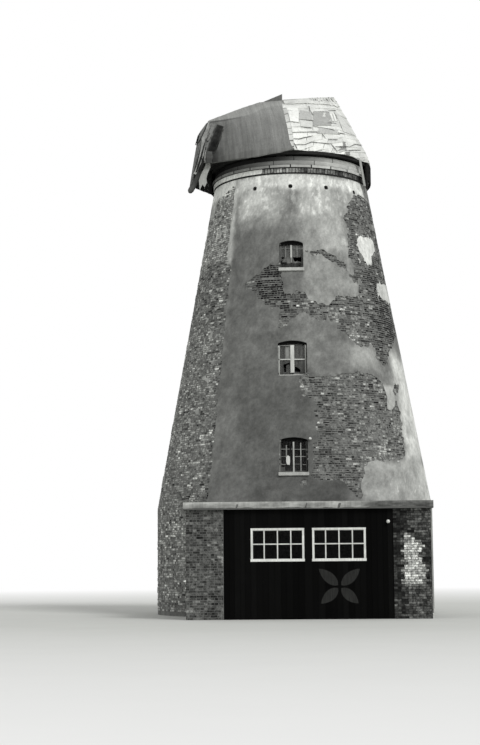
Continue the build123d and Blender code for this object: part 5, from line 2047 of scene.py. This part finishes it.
# silvered strips nailed down it: (along the ridge, rise) runs, widths, greys at the top and foot, and lift
tailStrips = (
    (((-3.125, 1.8), (-3.3, 1.32), (-3.5, 0.85), (-3.66, 0.58)), (0.02, 0.03, 0.04, 0.04), (46, 34), 0.052),
    (((-3.1, 1.78), (-3.2, 1.44), (-3.3, 1.2)), (0.04, 0.07, 0.02), (176, 130), 0.05),
    (((-3.06, 1.66), (-3.26, 1.2), (-3.42, 0.8), (-3.55, 0.3), (-3.64, -0.1)), (0.05, 0.15, 0.13, 0.11, 0.06),
     (136, 152), 0.042),
    (((-3.46, 0.84), (-3.58, 0.2), (-3.68, -0.2), (-3.78, -0.5)), (0.02, 0.05, 0.05, 0.02), (70, 34), 0.056),
    (((-3.18, 1.3), (-3.3, 0.9), (-3.4, 0.56), (-3.48, 0.2), (-3.62, -0.2), (-3.75, -0.56)),
     (0.04, 0.07, 0.11, 0.15, 0.14, 0.1), (126, 182), 0.05),
    (((-2.94, 1.6), (-3.07, 1.24), (-3.24, 0.8)), (0.12, 0.15, 0.08), (124, 126), 0.044),
    (((-3.02, 1.5), (-3.14, 1.14), (-3.3, 0.72)), (0.012, 0.02, 0.012), (62, 70), 0.05),
    (((-3.28, 0.9), (-3.4, 0.5), (-3.5, 0.1), (-3.6, -0.2), (-3.7, -0.5)), (0.02, 0.05, 0.08, 0.08, 0.04),
     (58, 34), 0.058),
    (((-3.33, 0.5), (-3.4, 0.16), (-3.5, -0.2), (-3.58, -0.45)), (0.04, 0.1, 0.12, 0.06), (60, 30), 0.04),
    (((-3.18, 0.32), (-3.2, 0.1), (-3.22, -0.13)), (0.17, 0.23, 0.2), (88, 70), 0.046),
    (((-3.32, 0.36), (-3.36, 0.14), (-3.39, -0.06)), (0.04, 0.06, 0.04), (140, 120), 0.052),
)


def tailPoint(along, rise, lift):
    share = np.clip((along - tail["verge"]) / tail["step"], 0, 1)
    half = tail["half"][0] + (tail["half"][1] - tail["half"][0]) * share
    crown = tail["rise"][0] + (tail["rise"][1] - tail["rise"][0]) * share
    marks, drops = zip(*roof["shape"])

    def reach(height):
        return half * np.interp(-height / crown, [-t for t in drops], marks)

    out = reach(rise)
    slope = (reach(rise - 0.02) - reach(rise + 0.02)) / 0.04  # how fast the side spreads on the way down
    size = np.sqrt(1 + slope ** 2)
    height = roof["eave"] + rise + lift * slope / size
    return capToWorld(np.stack([along + 0 * out, -(out + lift / size), height], -1))


def makeTail():
    heap = Heap()
    for run, widths, levels, lift in tailStrips:
        run = np.array(run, float)
        marks = np.linspace(0, len(run) - 1, 4 * (len(run) - 1) + 1)
        points = np.stack([np.interp(marks, range(len(run)), run[:, k]) for k in (0, 1)], 1)
        wide = np.interp(marks, range(len(run)), widths) * chance.uniform(0.86, 1.14, len(marks))
        level = np.interp(marks, (0, len(run) - 1), levels)
        tones = np.repeat(grey(level * (1 + chance.uniform(-0.07, 0.07, len(marks)))), 4)
        ribbon(heap, tailPoint, points, wide, lift, tail["stripThick"], tones)
    heap.build("tail_strips", "cap", "gable_timber", finishes["silverPieces"])

    heap = Heap()

    def keep(along, rise):
        return swing(along * 9, rise * 9, 0.09, 3) - flatDistance(along, rise, tail["hole"])

    def lift(along, rise):
        high, dip = tail["edgeLift"]
        return high - dip * (1 - soften(flatDistance(along, rise, felt["torn"]), -0.07, -0.03))

    def tone(along, rise):
        inside = -flatDistance(along, rise, tail["hole"])
        level = tail["edgeLevel"] - 26 * soften(inside, 0, 0.07) - 12 * soften(1.1 - rise, 0, 0.5)
        return grey(level + swing(along * 14, rise * 9, 34))

    carve(heap, np.linspace(-3.34, -2.56, 53), np.linspace(0.2, 1.68, 75), keep,
          lambda p, r: tailPoint(p, r, lift(p, r)),
          lambda p, r: tailPoint(p, r, lift(p, r) - tail["edgeThick"]), tone)
    heap.build("torn_edge", "cap", "roof_felt", finishes["skirtPieces"])
    print("tail boarded")


floorPatch = {"size": 400.0, "level": 205, "fadeStart": 14.0, "fadeEnd": 60.0}


def makeFloor():
    # a pale floor that melts into the white background far from the mill
    f = Finish("paleFloor", 0.95, 0.1)
    pale = float(grey(floorPatch["level"]))
    f.colour(f.mottle(pale * 0.97, pale, 0.5, 3))
    length = f.node("VectorMath")
    length.operation = "LENGTH"
    f.link(f.place, length.inputs[0])
    fade = f.spread(length.outputs["Value"], floorPatch["fadeStart"], floorPatch["fadeEnd"], 0, 1)
    mix = f.node("MixShader", Fac=f.math("MULTIPLY", fade, seenDirectly(f.tree)))
    f.link(f.shader.outputs[0], mix.inputs[1])
    f.link(f.node("Emission").outputs[0], mix.inputs[2])
    out = next(n for n in f.tree.nodes if n.type == "OUTPUT_MATERIAL")
    f.link(mix.outputs[0], out.inputs["Surface"])
    half = floorPatch["size"] / 2
    mesh = bpy.data.meshes.new("floor")
    corners = [(-half, -half, 0), (half, -half, 0), (half, half, 0), (-half, half, 0)]
    mesh.from_pydata(corners, [], [(0, 1, 2, 3)])
    mesh.materials.append(f.mat)
    obj = addObject("floor", mesh)
    print("floor made")


makeCamera()
makeLight()
makeFloor()
dressSolids()
makeCoat()
for side, start, end in (("left", -128, -34), ("front", -34, 95), ("rear", 95, 232)):
    layTower("bricks_" + side, start, end)
makeFelt()
makeSlates()
makeSkirts()
makeLooseBoards()
makeTail()
makeBrace()
makeCurb()
makeWindows()
makeBoards()
makeAnnexWindows()
makePiers()
makeFlatRoof()
makeFascia()
makeFittings()
makeDoor()

bpy.context.scene.view_settings.view_transform = "Standard"
